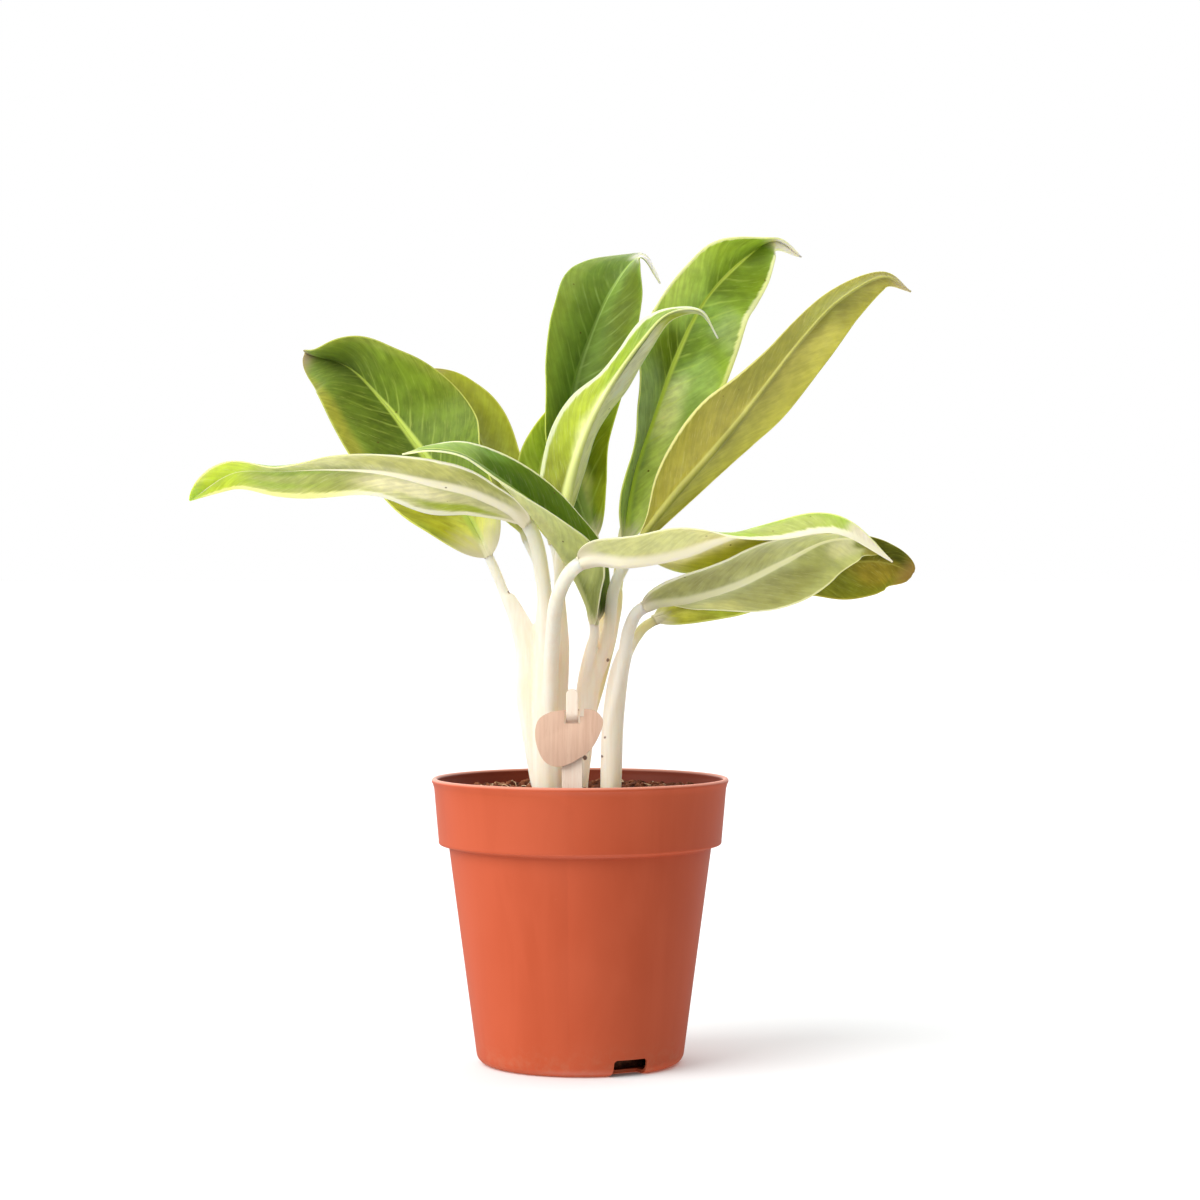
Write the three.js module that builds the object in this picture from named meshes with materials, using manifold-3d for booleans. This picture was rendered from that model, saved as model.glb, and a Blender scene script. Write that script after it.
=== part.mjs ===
// A potted aglaonema: a moulded plastic pot, its soil, three pale shoots, twelve blades and a wooden label.
// Millimetres, +Z up. The origin is the middle of the pot's underside, and the plant's front faces -Y.

import * as THREE from "three";
import { mergeVertices } from "three/addons/utils/BufferGeometryUtils.js";
import Module from "manifold-3d";

// Pot
const POT_HEIGHT = 115;
const LIP_RADIUS = 60;
const LIP_HEIGHT = 2.2;
const BAND_TOP_RADIUS = 59;
const BAND_BOTTOM_RADIUS = 57.2;
const BAND_HEIGHT = 23.8;
const LEDGE_DROP = 1;
const WALL_TOP_RADIUS = 53.4;
const WALL_FOOT_RADIUS = 42;
const FOOT_ROUNDING = 4.5;
const POT_WALL = 1.3;
const POT_SIDES = 56;
const NOTCH = { width: 15, height: 6.5, depth: 9, rounding: 1.5, turns: [29, 209] };

// Soil
const SOIL_TOP = 109;
const SOIL_RELIEF = 1.1;
const SOIL_FOOT_RADIUS = 32.4;
const SOIL_SIDES = 40;
const FIT_GAP = 0.35;
const STEM_FOOT = 92;

// Blades
const BLADE_MIDDLE_THICKNESS = 0.9;
const BLADE_EDGE_THICKNESS = 0.6;
const BLADE_STEPS = 14;
const BLADE_COLUMNS = [0.4, 0.72, 1];
const BASE_HALF_WIDTH = 2.4;
const TIP_HALF_WIDTH = 0.4;
const STARBOARD_WAVE_LAG = 2.1;
const JOINT_GAP = 1.8;

// Stalks
const STALK_STEPS = 9;
const STALK_SIDES = 8;
const CANE_SIDES = 12;

// Label
const LABEL_DEPTH = -51;
const DISC_CENTRE = [-4, 134];
const DISC_THICKNESS = 1.5;
const STAKE_WIDTH = 8;
const TONGUE_WIDTH = 4.6;
const STAKE_THICKNESS = 1.1;
const STAKE_X = -2.8;
const STAKE_FOOT = 81;
const STAKE_TOP = 153;
const TONGUE_START = 136;
const SLOT = { bottom: 137, height: 7.2, width: 6 };

const COLOURS = {
  plastic: 0xc45a3c,
  soil: 0x4a2a1c,
  stem: 0xf0e2c8,
  upper: 0x6f9434,
  under: 0xb9bf86,
  wood: 0xe8c6a4,
};

// How far the label's outline stands from its centre, in the plane of the disc: x to the right, z up.
const DISC_OUTLINE = [
  [-13.2, 1.2], [-11.8, 7], [-6.8, 9.9], [0, 10.8], [8, 11], [12, 8.8], [13.1, 4.8],
  [9.3, -3.5], [3.6, -8.3], [-3, -11.2], [-8.3, -10.2], [-11.6, -5.8],
];

// Each shoot's cane, from its foot in the soil up to where its stalks part, and the sheaths that wrap a stalk on to the
// cane: x, y, z and the two half-widths. The cane comes first.
const SHOOTS = {
  stem_left: [
    [
      [-12.6, -2, STEM_FOOT, 6.9, 6.4], [-12.6, -2, 110, 6.9, 6.4], [-13, -2, 130, 7.4, 6.6],
      [-12.8, -1, 150, 7.6, 6.6], [-12, 0, 170, 7.2, 6.2], [-11.8, 0, 188, 5.6, 5.2],
    ],
    [
      [-15, -2, 112, 5, 3.6], [-18, -1.5, 132, 5.6, 3.4], [-20.5, -1, 150, 5.9, 3],
      [-21.7, -0.5, 166, 4.9, 2.4], [-24.5, 0, 178, 4.4, 1.8], [-28.5, 1, 188, 2.6, 1.4],
    ],
  ],
  stem_middle: [
    [
      [-0.4, 3.5, STEM_FOOT, 3.8, 4.7], [-0.4, 3.5, 111, 3.8, 4.7], [0.8, 4, 130, 4.4, 4.8],
      [2.8, 4, 150, 4.8, 4.8], [7.2, 5, 166, 5.9, 4.6], [11.9, 8.5, 182, 4.8, 3.2], [13.5, 9.5, 191, 3.8, 2.8],
    ],
  ],
  stem_right: [
    [
      [12.4, 1, STEM_FOOT, 4.4, 4.4], [12.4, 1, 111, 4.4, 4.4], [13, 0.5, 135, 4.4, 4.2],
      [15.2, 0, 155, 4, 4], [18, 0, 166, 3.2, 4.6],
    ],
  ],
};

// The twelve leaves. A leaf's route runs up its stalk and along its midrib, through points chosen from the photograph.
// Face 1 shows its upper side to the front, and -1 its underside. Port is the half to the left of the way it grows,
// seen from the front, and star the other half: each lists how far that half is turned away from the picture plane, in
// degrees, at even steps from base to tip. Base and tip are the powers that shape the blade's outline.
const LEAVES = [
  {
    name: "leaf_upper_left", stem: "stem_left", face: 1, half: 28, base: 0.5, tip: 0.55,
    bow: 0.06, wave: 0.4, waves: 2, radius: [3.2, 2],
    stalk: [[-14, -2, 108], [-17, -2, 128], [-20, -1, 150], [-24, 0, 171], [-31, 3, 190]],
    midrib: [
      [-37, 6, 204], [-46, 13, 221], [-57, 22, 236], [-69, 31, 252], [-82, 41, 268.5], [-97.5, 51, 284],
      [-116.5, 60, 291],
    ],
    port: [-36, -29, -29, -35, -24], star: [-40, -40, -38, -28, -12, -9, -24, -41, -54, -84, -90],
  },
  {
    name: "leaf_back_left", stem: "stem_left", face: -1, half: 20, base: 0.8, tip: 0.64,
    bow: 0.06, wave: 0.6, waves: 2, radius: [3, 2.4],
    stalk: [[-13, 0, 108], [-12, 4, 146], [-13, 8, 170], [-15, 12, 195]],
    midrib: [[-21, 17, 210], [-30, 25, 225], [-38, 34, 243], [-47, 44, 262], [-56, 53, 276], [-63, 60, 284]],
    port: [80, 70, 52, 45, 50], star: [50, 50, 46, 41, 38],
  },
  {
    name: "leaf_back_centre", stem: "stem_left", face: 1, half: 10.5, base: 0.8, tip: 0.9,
    bow: 0.06, wave: 0.4, waves: 2, radius: [2.8, 1.7],
    stalk: [[-12, 0, 108], [-11, 4, 146], [-10, 9, 170], [-9, 15, 195]],
    midrib: [[-11, 20, 209], [-15, 27, 225], [-17, 37, 240], [-13, 43, 254], [-8, 47, 266], [-3, 50, 276]],
    port: [-30, -30, -25, -35, -50], star: [-40, -40, -40, -45, -50],
  },
  {
    name: "leaf_far_left", stem: "stem_left", face: -1, half: 20, base: 0.5, tip: 0.62,
    bow: 0.06, wave: 0.9, waves: 3, radius: [3.4, 3],
    stalk: [[-13, -3, 108], [-13, -4, 146], [-14, -5, 171], [-15, -6, 195]],
    midrib: [
      [-21, -8, 217], [-40, -13, 229], [-60, -19, 234], [-79, -24, 238], [-99, -29, 239],
      [-118, -34, 238], [-136, -39, 237], [-152, -44, 226],
    ],
    port: [55, 50, 60, 52, 84], star: [-65, -65, -71, -86, -45],
  },
  {
    name: "leaf_front_left", stem: "stem_middle", face: 1, half: 20, base: 0.45, tip: 0.9,
    bow: 0.06, wave: 0.4, waves: 2, radius: [2.6, 2],
    stalk: [[0, 3, 108], [0.5, 2, 132], [2, 1, 150], [4, -1, 163]],
    midrib: [
      [5.5, -3.5, 177], [-1, -6, 194], [-11, -12, 210], [-22, -20.5, 224], [-34, -29, 236],
      [-46, -36, 244], [-58, -41, 246], [-69, -45, 244],
    ],
    port: [-95, -115, -134, -128, -117, -107, -97, -88, -82, -78, -75],
    star: [54, 41, 33, 40, 43, 46, 53, 60, 66, 71, 75],
  },
  {
    name: "leaf_tall", stem: "stem_middle", face: 1, half: 21.5, base: 0.6, tip: 0.42,
    bow: 0.06, wave: 0.5, waves: 2, radius: [2.8, 2.3],
    stalk: [[-1, 5, 108], [1, 7, 132], [6, 9, 154], [9.5, 12, 174], [9, 18, 195]],
    midrib: [
      [5, 24, 211], [-2, 29, 232], [-6, 31, 253], [-3, 35, 275], [4, 38, 296], [13, 40, 315],
      [25, 39.5, 329], [33, 38.5, 318],
    ],
    port: [-60, -62, -62, -62, -59, -50, -38, -21, 28, 82, 85],
    star: [5, 4, 2, -2, -8, -14, -24, -36, -50, -80, -88],
  },
  {
    name: "leaf_folded", stem: "stem_left", face: -1, half: 19, base: 0.5, tip: 1,
    bow: 0.04, wave: 0.5, waves: 2, radius: [3, 2.6],
    stalk: [[-12, -2, 108], [-11, 0, 146], [-10, 2, 171], [-8, 3, 195]],
    midrib: [
      [-7, 4, 213], [-3, 3, 236], [3.5, -2, 256], [13, -6, 274], [24.5, -9, 290], [35, -13, 301],
      [48, -16, 302], [55, -18, 291],
    ],
    port: [20, 30, 37, 42, 51, 67, 66, 60, 78, 82, 84], star: [84, 80, 79, 80, 75, 68, 71, 75, 77, 78, 80],
  },
  {
    name: "leaf_upper_right", stem: "stem_middle", face: 1, half: 24, base: 0.65, tip: 0.75,
    bow: 0.07, wave: 1, waves: 3, radius: [2.8, 2.2],
    stalk: [[0, 5, 108], [2, 6, 132], [8, 8, 154], [13, 9, 174], [15, 13, 191]],
    midrib: [
      [17, 17, 209], [21, 23, 236], [29, 29, 260], [38, 34, 284], [49, 38, 307], [63, 41, 324],
      [80, 42, 336], [92, 40, 329],
    ],
    port: [-80, -80, -80, -72, -66, -46, -44, -46, -44, -80, -80],
    star: [-20, -20, -20, -16, -10, -6, -8, -20, 0, -44, -65],
  },
  {
    name: "leaf_olive_right", stem: "stem_middle", face: -1, half: 19.5, base: 0.85, tip: 0.95,
    bow: 0.06, wave: 0.6, waves: 2, radius: [3, 2.4],
    stalk: [[0, 3, 108], [1, 3, 132], [6, 2, 154], [11.5, 1, 175], [13.3, 0, 190]],
    midrib: [
      [18, -2, 201], [26, -4, 213.5], [38, -7, 228.5], [52, -11, 244.5], [66, -16, 261.5],
      [78, -21, 277.5], [89, -26, 291.5], [102, -31, 305], [119, -35, 314], [130, -36, 308],
    ],
    port: [88, 70, 38, 28, 33, 52, 62, 64, 66, 68, 70], star: [62, 66, 66, 63, 55, 45, 42, 37, 29, 26, 45],
  },
  {
    name: "leaf_long_right", stem: "stem_left", face: -1, half: 18, base: 0.42, tip: 0.85,
    bow: 0.05, wave: 0.6, waves: 2, radius: [3.4, 2.9],
    stalk: [[-12.5, -4, 108], [-12, -7, 147], [-11, -14, 171], [-8.5, -23, 189]],
    midrib: [
      [0.5, -31.5, 201.5], [19, -36.5, 201], [38, -38, 204], [55, -40, 211], [74, -44, 217],
      [92, -49, 221], [106, -53, 217], [121, -55, 202],
    ],
    port: [-42, -50, -52, -96, -128, -140, -130], star: [120, 112, 96, 66, 48, 48, 52, 62, 74, 84, 88],
  },
  {
    name: "leaf_low_right", stem: "stem_right", face: -1, half: 20, base: 0.5, tip: 0.62,
    bow: 0.05, wave: 0.6, waves: 2, radius: [3, 2.6],
    stalk: [[12, 0, 108], [12, -1, 132], [14, -2, 146], [17.5, -4, 163], [20, -7, 176]],
    midrib: [
      [26, -11, 184], [44, -18, 187], [62, -22, 193], [80, -25, 202], [97, -27, 210.5], [111, -31, 211],
      [119, -33, 206],
    ],
    port: [-65, -58, -54, -54, -55, -56, -62, -72, -80, -80, -76], star: [88, 68, 30, 15, 40],
  },
  {
    name: "leaf_back_right", stem: "stem_right", face: 1, half: 18, base: 0.6, tip: 0.36,
    bow: 0.06, wave: 0.6, waves: 2, radius: [3, 2.1],
    stalk: [[13, 1, 108], [13, 2, 132], [14, 3, 146], [18, 5, 162], [23, 8, 172]],
    midrib: [
      [30, 12, 178], [51, 17, 186], [73, 22, 193], [94, 26, 199], [116, 29, 202], [128, 30, 201],
      [138, 28, 197],
    ],
    port: [30, 30, 33, 42, 62], star: [-40, -44, -60, -30, -45],
  },
];

const AWAY = new THREE.Vector3(0, 1, 0);
const radians = THREE.MathUtils.degToRad;

// Solids

const wasm = await Module();
wasm.setup();

function solidFromGeometry(geometry) {
  const bare = geometry.clone();
  bare.deleteAttribute("normal");
  bare.deleteAttribute("uv");
  const merged = mergeVertices(bare, 1e-4);
  return new wasm.Manifold(
    new wasm.Mesh({
      numProp: 3,
      vertProperties: new Float32Array(merged.attributes.position.array),
      triVerts: new Uint32Array(merged.index.array),
    }),
  );
}

function geometryFromSolid(solid) {
  const mesh = solid.getMesh();
  const geometry = new THREE.BufferGeometry();
  geometry.setAttribute("position", new THREE.BufferAttribute(mesh.vertProperties, 3));
  geometry.setIndex(new THREE.BufferAttribute(mesh.triVerts, 1));
  geometry.computeVertexNormals();
  return geometry;
}

function geometryFromFaces(points, faces) {
  const geometry = new THREE.BufferGeometry();
  geometry.setFromPoints(points);
  geometry.setIndex(faces.flat());
  geometry.computeVertexNormals();
  return geometry;
}

function joinAll(solids) {
  return solids.reduce((whole, piece) => whole.add(piece));
}

// A closed solid through a stack of rings that all have the same number of points.
function loft(rings) {
  const sides = rings[0].length;
  const points = rings.flat();
  const faces = [];
  for (let i = 0; i < rings.length - 1; i++) {
    for (let j = 0; j < sides; j++) {
      const a = i * sides + j;
      const b = i * sides + ((j + 1) % sides);
      faces.push([a, b, b + sides], [a, b + sides, a + sides]);
    }
  }
  const last = (rings.length - 1) * sides;
  for (let j = 1; j < sides - 1; j++) {
    faces.push([0, j + 1, j], [last, last + j, last + j + 1]);
  }
  return geometryFromFaces(points, faces);
}

// An ellipse of points round a centre, at right angles to a heading, with its first half-width along the front.
function ellipseRing(centre, heading, halfAcross, halfDeep, sides) {
  const across = new THREE.Vector3().crossVectors(AWAY, heading).normalize();
  const deep = new THREE.Vector3().crossVectors(heading, across);
  return Array.from({ length: sides }, (_, i) => {
    const turn = (2 * Math.PI * i) / sides;
    return centre
      .clone()
      .addScaledVector(across, halfAcross * Math.cos(turn))
      .addScaledVector(deep, halfDeep * Math.sin(turn));
  });
}

// Leaves

// A leaf's whole curve, with the share of its length at which the blade starts.
function routeOf(leaf) {
  const points = [...leaf.stalk, ...leaf.midrib].map((p) => new THREE.Vector3(...p));
  const curve = new THREE.CatmullRomCurve3(points, false, "catmullrom", 0.5);
  const lengths = curve.getLengths(curve.arcLengthDivisions);
  const place = (leaf.stalk.length / (points.length - 1)) * curve.arcLengthDivisions;
  const whole = Math.floor(place);
  const before = lengths[whole] + (lengths[whole + 1] - lengths[whole]) * (place - whole);
  const total = lengths[lengths.length - 1];
  return { curve, total, start: before / total };
}

function valueAlong(values, share) {
  const curve = new THREE.CatmullRomCurve3(
    values.map((v) => new THREE.Vector3(v, 0, 0)), false, "catmullrom", 0.5,
  );
  return curve.getPoint(share).x;
}

// Half the blade's width at a share of its length: two powers, scaled so that the widest place is leaf.half.
function halfWidth(leaf, share) {
  const widest = leaf.base / (leaf.base + leaf.tip);
  const shape = (share / widest) ** leaf.base * ((1 - share) / (1 - widest)) ** leaf.tip;
  return Math.max(leaf.half * shape, BASE_HALF_WIDTH + (TIP_HALF_WIDTH - BASE_HALF_WIDTH) * share);
}

// A point of the blade's middle surface. Across runs from -1 on the port margin to 1 on the starboard margin.
function bladePoint(leaf, route, share, across) {
  const at = route.start + (1 - route.start) * share;
  const heading = route.curve.getTangentAt(at);
  const away = AWAY.clone().addScaledVector(heading, -heading.y).normalize();
  const side = new THREE.Vector3().crossVectors(heading, away);
  if (across > 0) side.negate();
  const turn = radians(valueAlong(across > 0 ? leaf.star : leaf.port, share));
  const out = side.clone().multiplyScalar(Math.cos(turn)).addScaledVector(away, Math.sin(turn));
  const normal = side.clone().multiplyScalar(-Math.sin(turn)).addScaledVector(away, Math.cos(turn));
  const width = halfWidth(leaf, share);
  const k = Math.abs(across);
  const lift = -leaf.face * leaf.bow * width * 4 * k * (1 - k);
  const phase = 2 * Math.PI * leaf.waves * share + (across > 0 ? STARBOARD_WAVE_LAG : 0);
  const ripple = leaf.wave * k * k * Math.sin(phase) * Math.min(1, width / 10);
  return route.curve
    .getPointAt(at)
    .addScaledVector(out, width * k)
    .addScaledVector(normal, lift + ripple);
}

// How far the raised midrib reaches to each side at a share of the blade's length, and how far it stands out below.
function ribHalfWidth(leaf, share) {
  return leaf.radius[1] * (1 - 0.8 * share);
}

function ribHeight(leaf, share) {
  return (2 * leaf.radius[1] - BLADE_MIDDLE_THICKNESS) * (1 - share) ** 1.6;
}

// One blade as a closed sheet: a grid of points on each face, the same diagonals on both, and a rim all round.
function bladeGeometry(leaf, route) {
  const grid = [];
  for (let i = 0; i <= BLADE_STEPS; i++) {
    const share = Math.min(Math.max(i / BLADE_STEPS, 0.0005), 0.9995);
    const rib = Math.min(0.25, ribHalfWidth(leaf, share) / halfWidth(leaf, share));
    const half = [rib, ...BLADE_COLUMNS];
    const columns = [...half.map((c) => -c).reverse(), 0, ...half];
    grid.push(columns.map((across) => ({ across, share, point: bladePoint(leaf, route, share, across) })));
  }
  const columns = grid[0].length;
  const front = [];
  const back = [];
  grid.forEach((row, i) => {
    row.forEach(({ across, share, point }, j) => {
      const before = grid[Math.max(i - 1, 0)][j].point;
      const after = grid[Math.min(i + 1, BLADE_STEPS)][j].point;
      const port = row[Math.max(j - 1, 0)].point;
      const star = row[Math.min(j + 1, columns - 1)].point;
      const normal = new THREE.Vector3()
        .crossVectors(star.clone().sub(port), after.clone().sub(before))
        .normalize();
      const k = Math.abs(across);
      const thickness = BLADE_MIDDLE_THICKNESS + (BLADE_EDGE_THICKNESS - BLADE_MIDDLE_THICKNESS) * k;
      const under = thickness / 2 + (k === 0 ? ribHeight(leaf, share) : 0);
      const upper = thickness / 2;
      front.push(point.clone().addScaledVector(normal, leaf.face > 0 ? upper : under));
      back.push(point.clone().addScaledVector(normal, -(leaf.face > 0 ? under : upper)));
    });
  });
  return geometryFromFaces([...front, ...back], sheetFaces(BLADE_STEPS, columns));
}

function sheetFaces(steps, columns) {
  const back = (steps + 1) * columns;
  const faces = [];
  const quad = (a, b, c, d) => faces.push([a, b, c], [a, c, d]);
  for (let i = 0; i < steps; i++) {
    const row = i * columns;
    const next = row + columns;
    for (let j = 0; j < columns - 1; j++) {
      quad(row + j, row + j + 1, next + j + 1, next + j);
      faces.push([back + row + j, back + next + j + 1, back + row + j + 1]);
      faces.push([back + row + j, back + next + j, back + next + j + 1]);
    }
    const end = columns - 1;
    quad(row, next, back + next, back + row);
    quad(next + end, row + end, back + row + end, back + next + end);
  }
  const tip = steps * columns;
  for (let j = 0; j < columns - 1; j++) {
    quad(j + 1, j, back + j, back + j + 1);
    quad(tip + j, tip + j + 1, back + tip + j + 1, back + tip + j);
  }
  return faces;
}

// Stems

function stalkSolid(leaf, route) {
  const end = route.start - JOINT_GAP / route.total;
  const rings = [];
  for (let i = 0; i <= STALK_STEPS; i++) {
    const share = i / STALK_STEPS;
    const radius = leaf.radius[0] + (leaf.radius[1] - leaf.radius[0]) * share;
    rings.push(
      ellipseRing(
        route.curve.getPointAt(end * share), route.curve.getTangentAt(end * share), radius, radius, STALK_SIDES,
      ),
    );
  }
  return solidFromGeometry(loft(rings));
}

function caneSolid(sections, grow = 0, foot = sections[0][2]) {
  const up = new THREE.Vector3(0, 0, 1);
  return solidFromGeometry(
    loft(
      sections.map(([x, y, z, across, deep], i) =>
        ellipseRing(new THREE.Vector3(x, y, i === 0 ? foot : z), up, across + grow, deep + grow, CANE_SIDES),
      ),
    ),
  );
}

function stemGeometry(name, routes) {
  const stalks = LEAVES.filter((leaf) => leaf.stem === name).map((leaf) => stalkSolid(leaf, routes.get(leaf)));
  const canes = SHOOTS[name].map((sections) => caneSolid(sections));
  return geometryFromSolid(joinAll([...canes, ...stalks]));
}

// Pot

function lathe(outline, sides) {
  return new THREE.LatheGeometry(outline.map(([r, z]) => new THREE.Vector2(r, z)), sides).rotateX(Math.PI / 2);
}

// The pot's outer side from the middle of its underside up to the lip, grown inwards by an inset.
function potSide(inset) {
  const bandBottom = POT_HEIGHT - LIP_HEIGHT - BAND_HEIGHT;
  const ledge = bandBottom - LEDGE_DROP;
  const rounding = FOOT_ROUNDING - inset;
  const middle = [WALL_FOOT_RADIUS - FOOT_ROUNDING, FOOT_ROUNDING];
  const corner = [0, 1, 2, 3].map((i) => {
    const turn = (Math.PI / 2) * (i / 3);
    return [middle[0] + rounding * Math.sin(turn), middle[1] - rounding * Math.cos(turn)];
  });
  return [
    ...corner,
    [WALL_TOP_RADIUS - inset, ledge + inset],
    [BAND_BOTTOM_RADIUS - 0.5 - inset, ledge + 0.2 + inset],
    [BAND_BOTTOM_RADIUS - inset, bandBottom + 0.4 + inset],
    [BAND_TOP_RADIUS - inset, POT_HEIGHT - LIP_HEIGHT],
  ];
}

function notchSolid(turn) {
  const { width, height, depth, rounding } = NOTCH;
  const shape = new THREE.Shape();
  const half = width / 2;
  shape.moveTo(-half, -2);
  shape.lineTo(half, -2);
  shape.lineTo(half, height - rounding);
  shape.quadraticCurveTo(half, height, half - rounding, height);
  shape.lineTo(-half + rounding, height);
  shape.quadraticCurveTo(-half, height, -half, height - rounding);
  shape.closePath();
  const reach = depth + 4;
  const block = new THREE.ExtrudeGeometry(shape, { depth: reach, bevelEnabled: false, curveSegments: 3 });
  block.rotateX(Math.PI / 2);
  block.translate(0, -(WALL_FOOT_RADIUS - depth), 0);
  return solidFromGeometry(block.rotateZ(radians(turn)));
}

function potGeometry() {
  const outside = potSide(0);
  const inside = potSide(POT_WALL).reverse();
  const lip = [
    [LIP_RADIUS - 0.3, POT_HEIGHT - LIP_HEIGHT + 0.3],
    [LIP_RADIUS, POT_HEIGHT - LIP_HEIGHT / 2],
    [LIP_RADIUS - 0.4, POT_HEIGHT - 0.3],
    [LIP_RADIUS - 1.1, POT_HEIGHT],
    [LIP_RADIUS - 2, POT_HEIGHT - 0.4],
  ];
  const outline = [[0, 0], ...outside, ...lip, ...inside, [0, POT_WALL]];
  const body = solidFromGeometry(lathe(outline, POT_SIDES));
  return geometryFromSolid(NOTCH.turns.reduce((pot, turn) => pot.subtract(notchSolid(turn)), body));
}

// Soil

// The height of the soil's crumbled top, as a sum of a few slow ripples.
function soilTop(x, y) {
  const crumbs = Math.sin(0.31 * x + 1.3) * Math.cos(0.27 * y) + 0.6 * Math.sin(0.83 * x - 0.4 * y)
    + 0.5 * Math.cos(0.71 * y + 0.5 * x + 2);
  return SOIL_TOP + SOIL_RELIEF * 0.6 * crumbs;
}

function soilGeometry() {
  const side = potSide(POT_WALL + FIT_GAP);
  const band = side.length - 1;
  side[band] = [side[band][0] - 0.4, SOIL_TOP];
  const top = [48, 40, 31, 22, 12, 0].map((r) => [r, SOIL_TOP]);
  const floor = NOTCH.height + 0.8;
  const wall = side.filter(([, z]) => z > floor);
  const low = POT_WALL + FIT_GAP;
  const foot = [[0, low], [SOIL_FOOT_RADIUS, low], [SOIL_FOOT_RADIUS, floor], [WALL_FOOT_RADIUS - POT_WALL - 1, floor]];
  const outline = [...foot, ...wall, ...top];
  const geometry = lathe(outline, SOIL_SIDES);
  const position = geometry.attributes.position;
  for (let i = 0; i < position.count; i++) {
    const x = position.getX(i);
    const y = position.getY(i);
    if (position.getZ(i) > SOIL_TOP - 0.01) position.setZ(i, soilTop(x, y));
  }
  const holes = Object.values(SHOOTS).map(([cane]) => {
    const [x, y, , across, deep] = cane[0];
    const above = [x, y, SOIL_TOP + 6, across, deep];
    return caneSolid([cane[0], above], FIT_GAP, STEM_FOOT - FIT_GAP);
  });
  const slot = boxSolid(
    STAKE_WIDTH + 2 * FIT_GAP, STAKE_THICKNESS + 2 * FIT_GAP, SOIL_TOP + 6 - STAKE_FOOT + FIT_GAP,
    [STAKE_X, LABEL_DEPTH + STAKE_THICKNESS / 2 + DISC_THICKNESS / 2 + FIT_GAP, STAKE_FOOT - FIT_GAP],
  );
  return geometryFromSolid([...holes, slot].reduce((soil, hole) => soil.subtract(hole), solidFromGeometry(geometry)));
}

// Label

// A box given by its sizes and the middle of its lower face.
function boxSolid(width, deep, height, [x, y, z]) {
  return solidFromGeometry(new THREE.BoxGeometry(width, deep, height).translate(x, y, z + height / 2));
}

// A flat shape drawn in x and z, as a plate with its middle at a given y.
function plate(shape, thickness, y) {
  const geometry = new THREE.ExtrudeGeometry(shape, { depth: thickness, bevelEnabled: false, curveSegments: 6 });
  return geometry.rotateX(Math.PI / 2).translate(0, y + thickness / 2, 0);
}

function discGeometry() {
  const outline = new THREE.CatmullRomCurve3(
    DISC_OUTLINE.map(([x, z]) => new THREE.Vector3(DISC_CENTRE[0] + x, DISC_CENTRE[1] + z, 0)),
    true, "catmullrom", 0.5,
  );
  const shape = new THREE.Shape(outline.getPoints(36).slice(0, -1).map((p) => new THREE.Vector2(p.x, p.y)));
  const disc = solidFromGeometry(plate(shape, DISC_THICKNESS, LABEL_DEPTH));
  const slot = boxSolid(SLOT.width, 2 * DISC_THICKNESS, SLOT.height, [STAKE_X, LABEL_DEPTH, SLOT.bottom]);
  return geometryFromSolid(disc.subtract(slot));
}

// The stake's outline from the front: wide below the disc's slot, and a narrow tongue with a rounded top above.
function stakeFront() {
  const shape = new THREE.Shape();
  const wide = STAKE_WIDTH / 2;
  const narrow = TONGUE_WIDTH / 2;
  shape.moveTo(STAKE_X - 1.2, STAKE_FOOT);
  shape.lineTo(STAKE_X + 1.2, STAKE_FOOT);
  shape.lineTo(STAKE_X + wide, STAKE_FOOT + 9);
  shape.lineTo(STAKE_X + wide, TONGUE_START - 2);
  shape.lineTo(STAKE_X + narrow, TONGUE_START);
  shape.lineTo(STAKE_X + narrow, STAKE_TOP - narrow);
  shape.absarc(STAKE_X, STAKE_TOP - narrow, narrow, 0, Math.PI, false);
  shape.lineTo(STAKE_X - narrow, TONGUE_START);
  shape.lineTo(STAKE_X - wide, TONGUE_START - 2);
  shape.lineTo(STAKE_X - wide, STAKE_FOOT + 9);
  shape.closePath();
  return solidFromGeometry(plate(shape, 20, LABEL_DEPTH));
}

// The stake from the side: it stands behind the disc, comes forward through the slot and ends before it.
function stakeSide() {
  const behind = LABEL_DEPTH + DISC_THICKNESS / 2 + FIT_GAP;
  const before = LABEL_DEPTH - DISC_THICKNESS / 2 - FIT_GAP - STAKE_THICKNESS;
  const shape = new THREE.Shape();
  const line = [
    [behind, STAKE_FOOT - 1], [behind, SLOT.bottom - 0.4], [before, SLOT.bottom + SLOT.height - 0.8],
    [before, STAKE_TOP + 1],
  ];
  const thick = line.map(([y, z]) => [y + STAKE_THICKNESS, z]).reverse();
  shape.setFromPoints([...line, ...thick].map(([y, z]) => new THREE.Vector2(y, z)));
  const slab = new THREE.ExtrudeGeometry(shape, { depth: 20, bevelEnabled: false });
  slab.rotateX(Math.PI / 2).rotateZ(Math.PI / 2).translate(STAKE_X - 10, 0, 0);
  return solidFromGeometry(slab);
}

// Assembly

function addMesh(group, name, geometry, colour, roughness) {
  const material = new THREE.MeshStandardMaterial({ color: colour, roughness, metalness: 0 });
  const mesh = new THREE.Mesh(geometry, material);
  mesh.name = name;
  group.add(mesh);
}

const plant = new THREE.Group();
const routes = new Map(LEAVES.map((leaf) => [leaf, routeOf(leaf)]));

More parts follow.
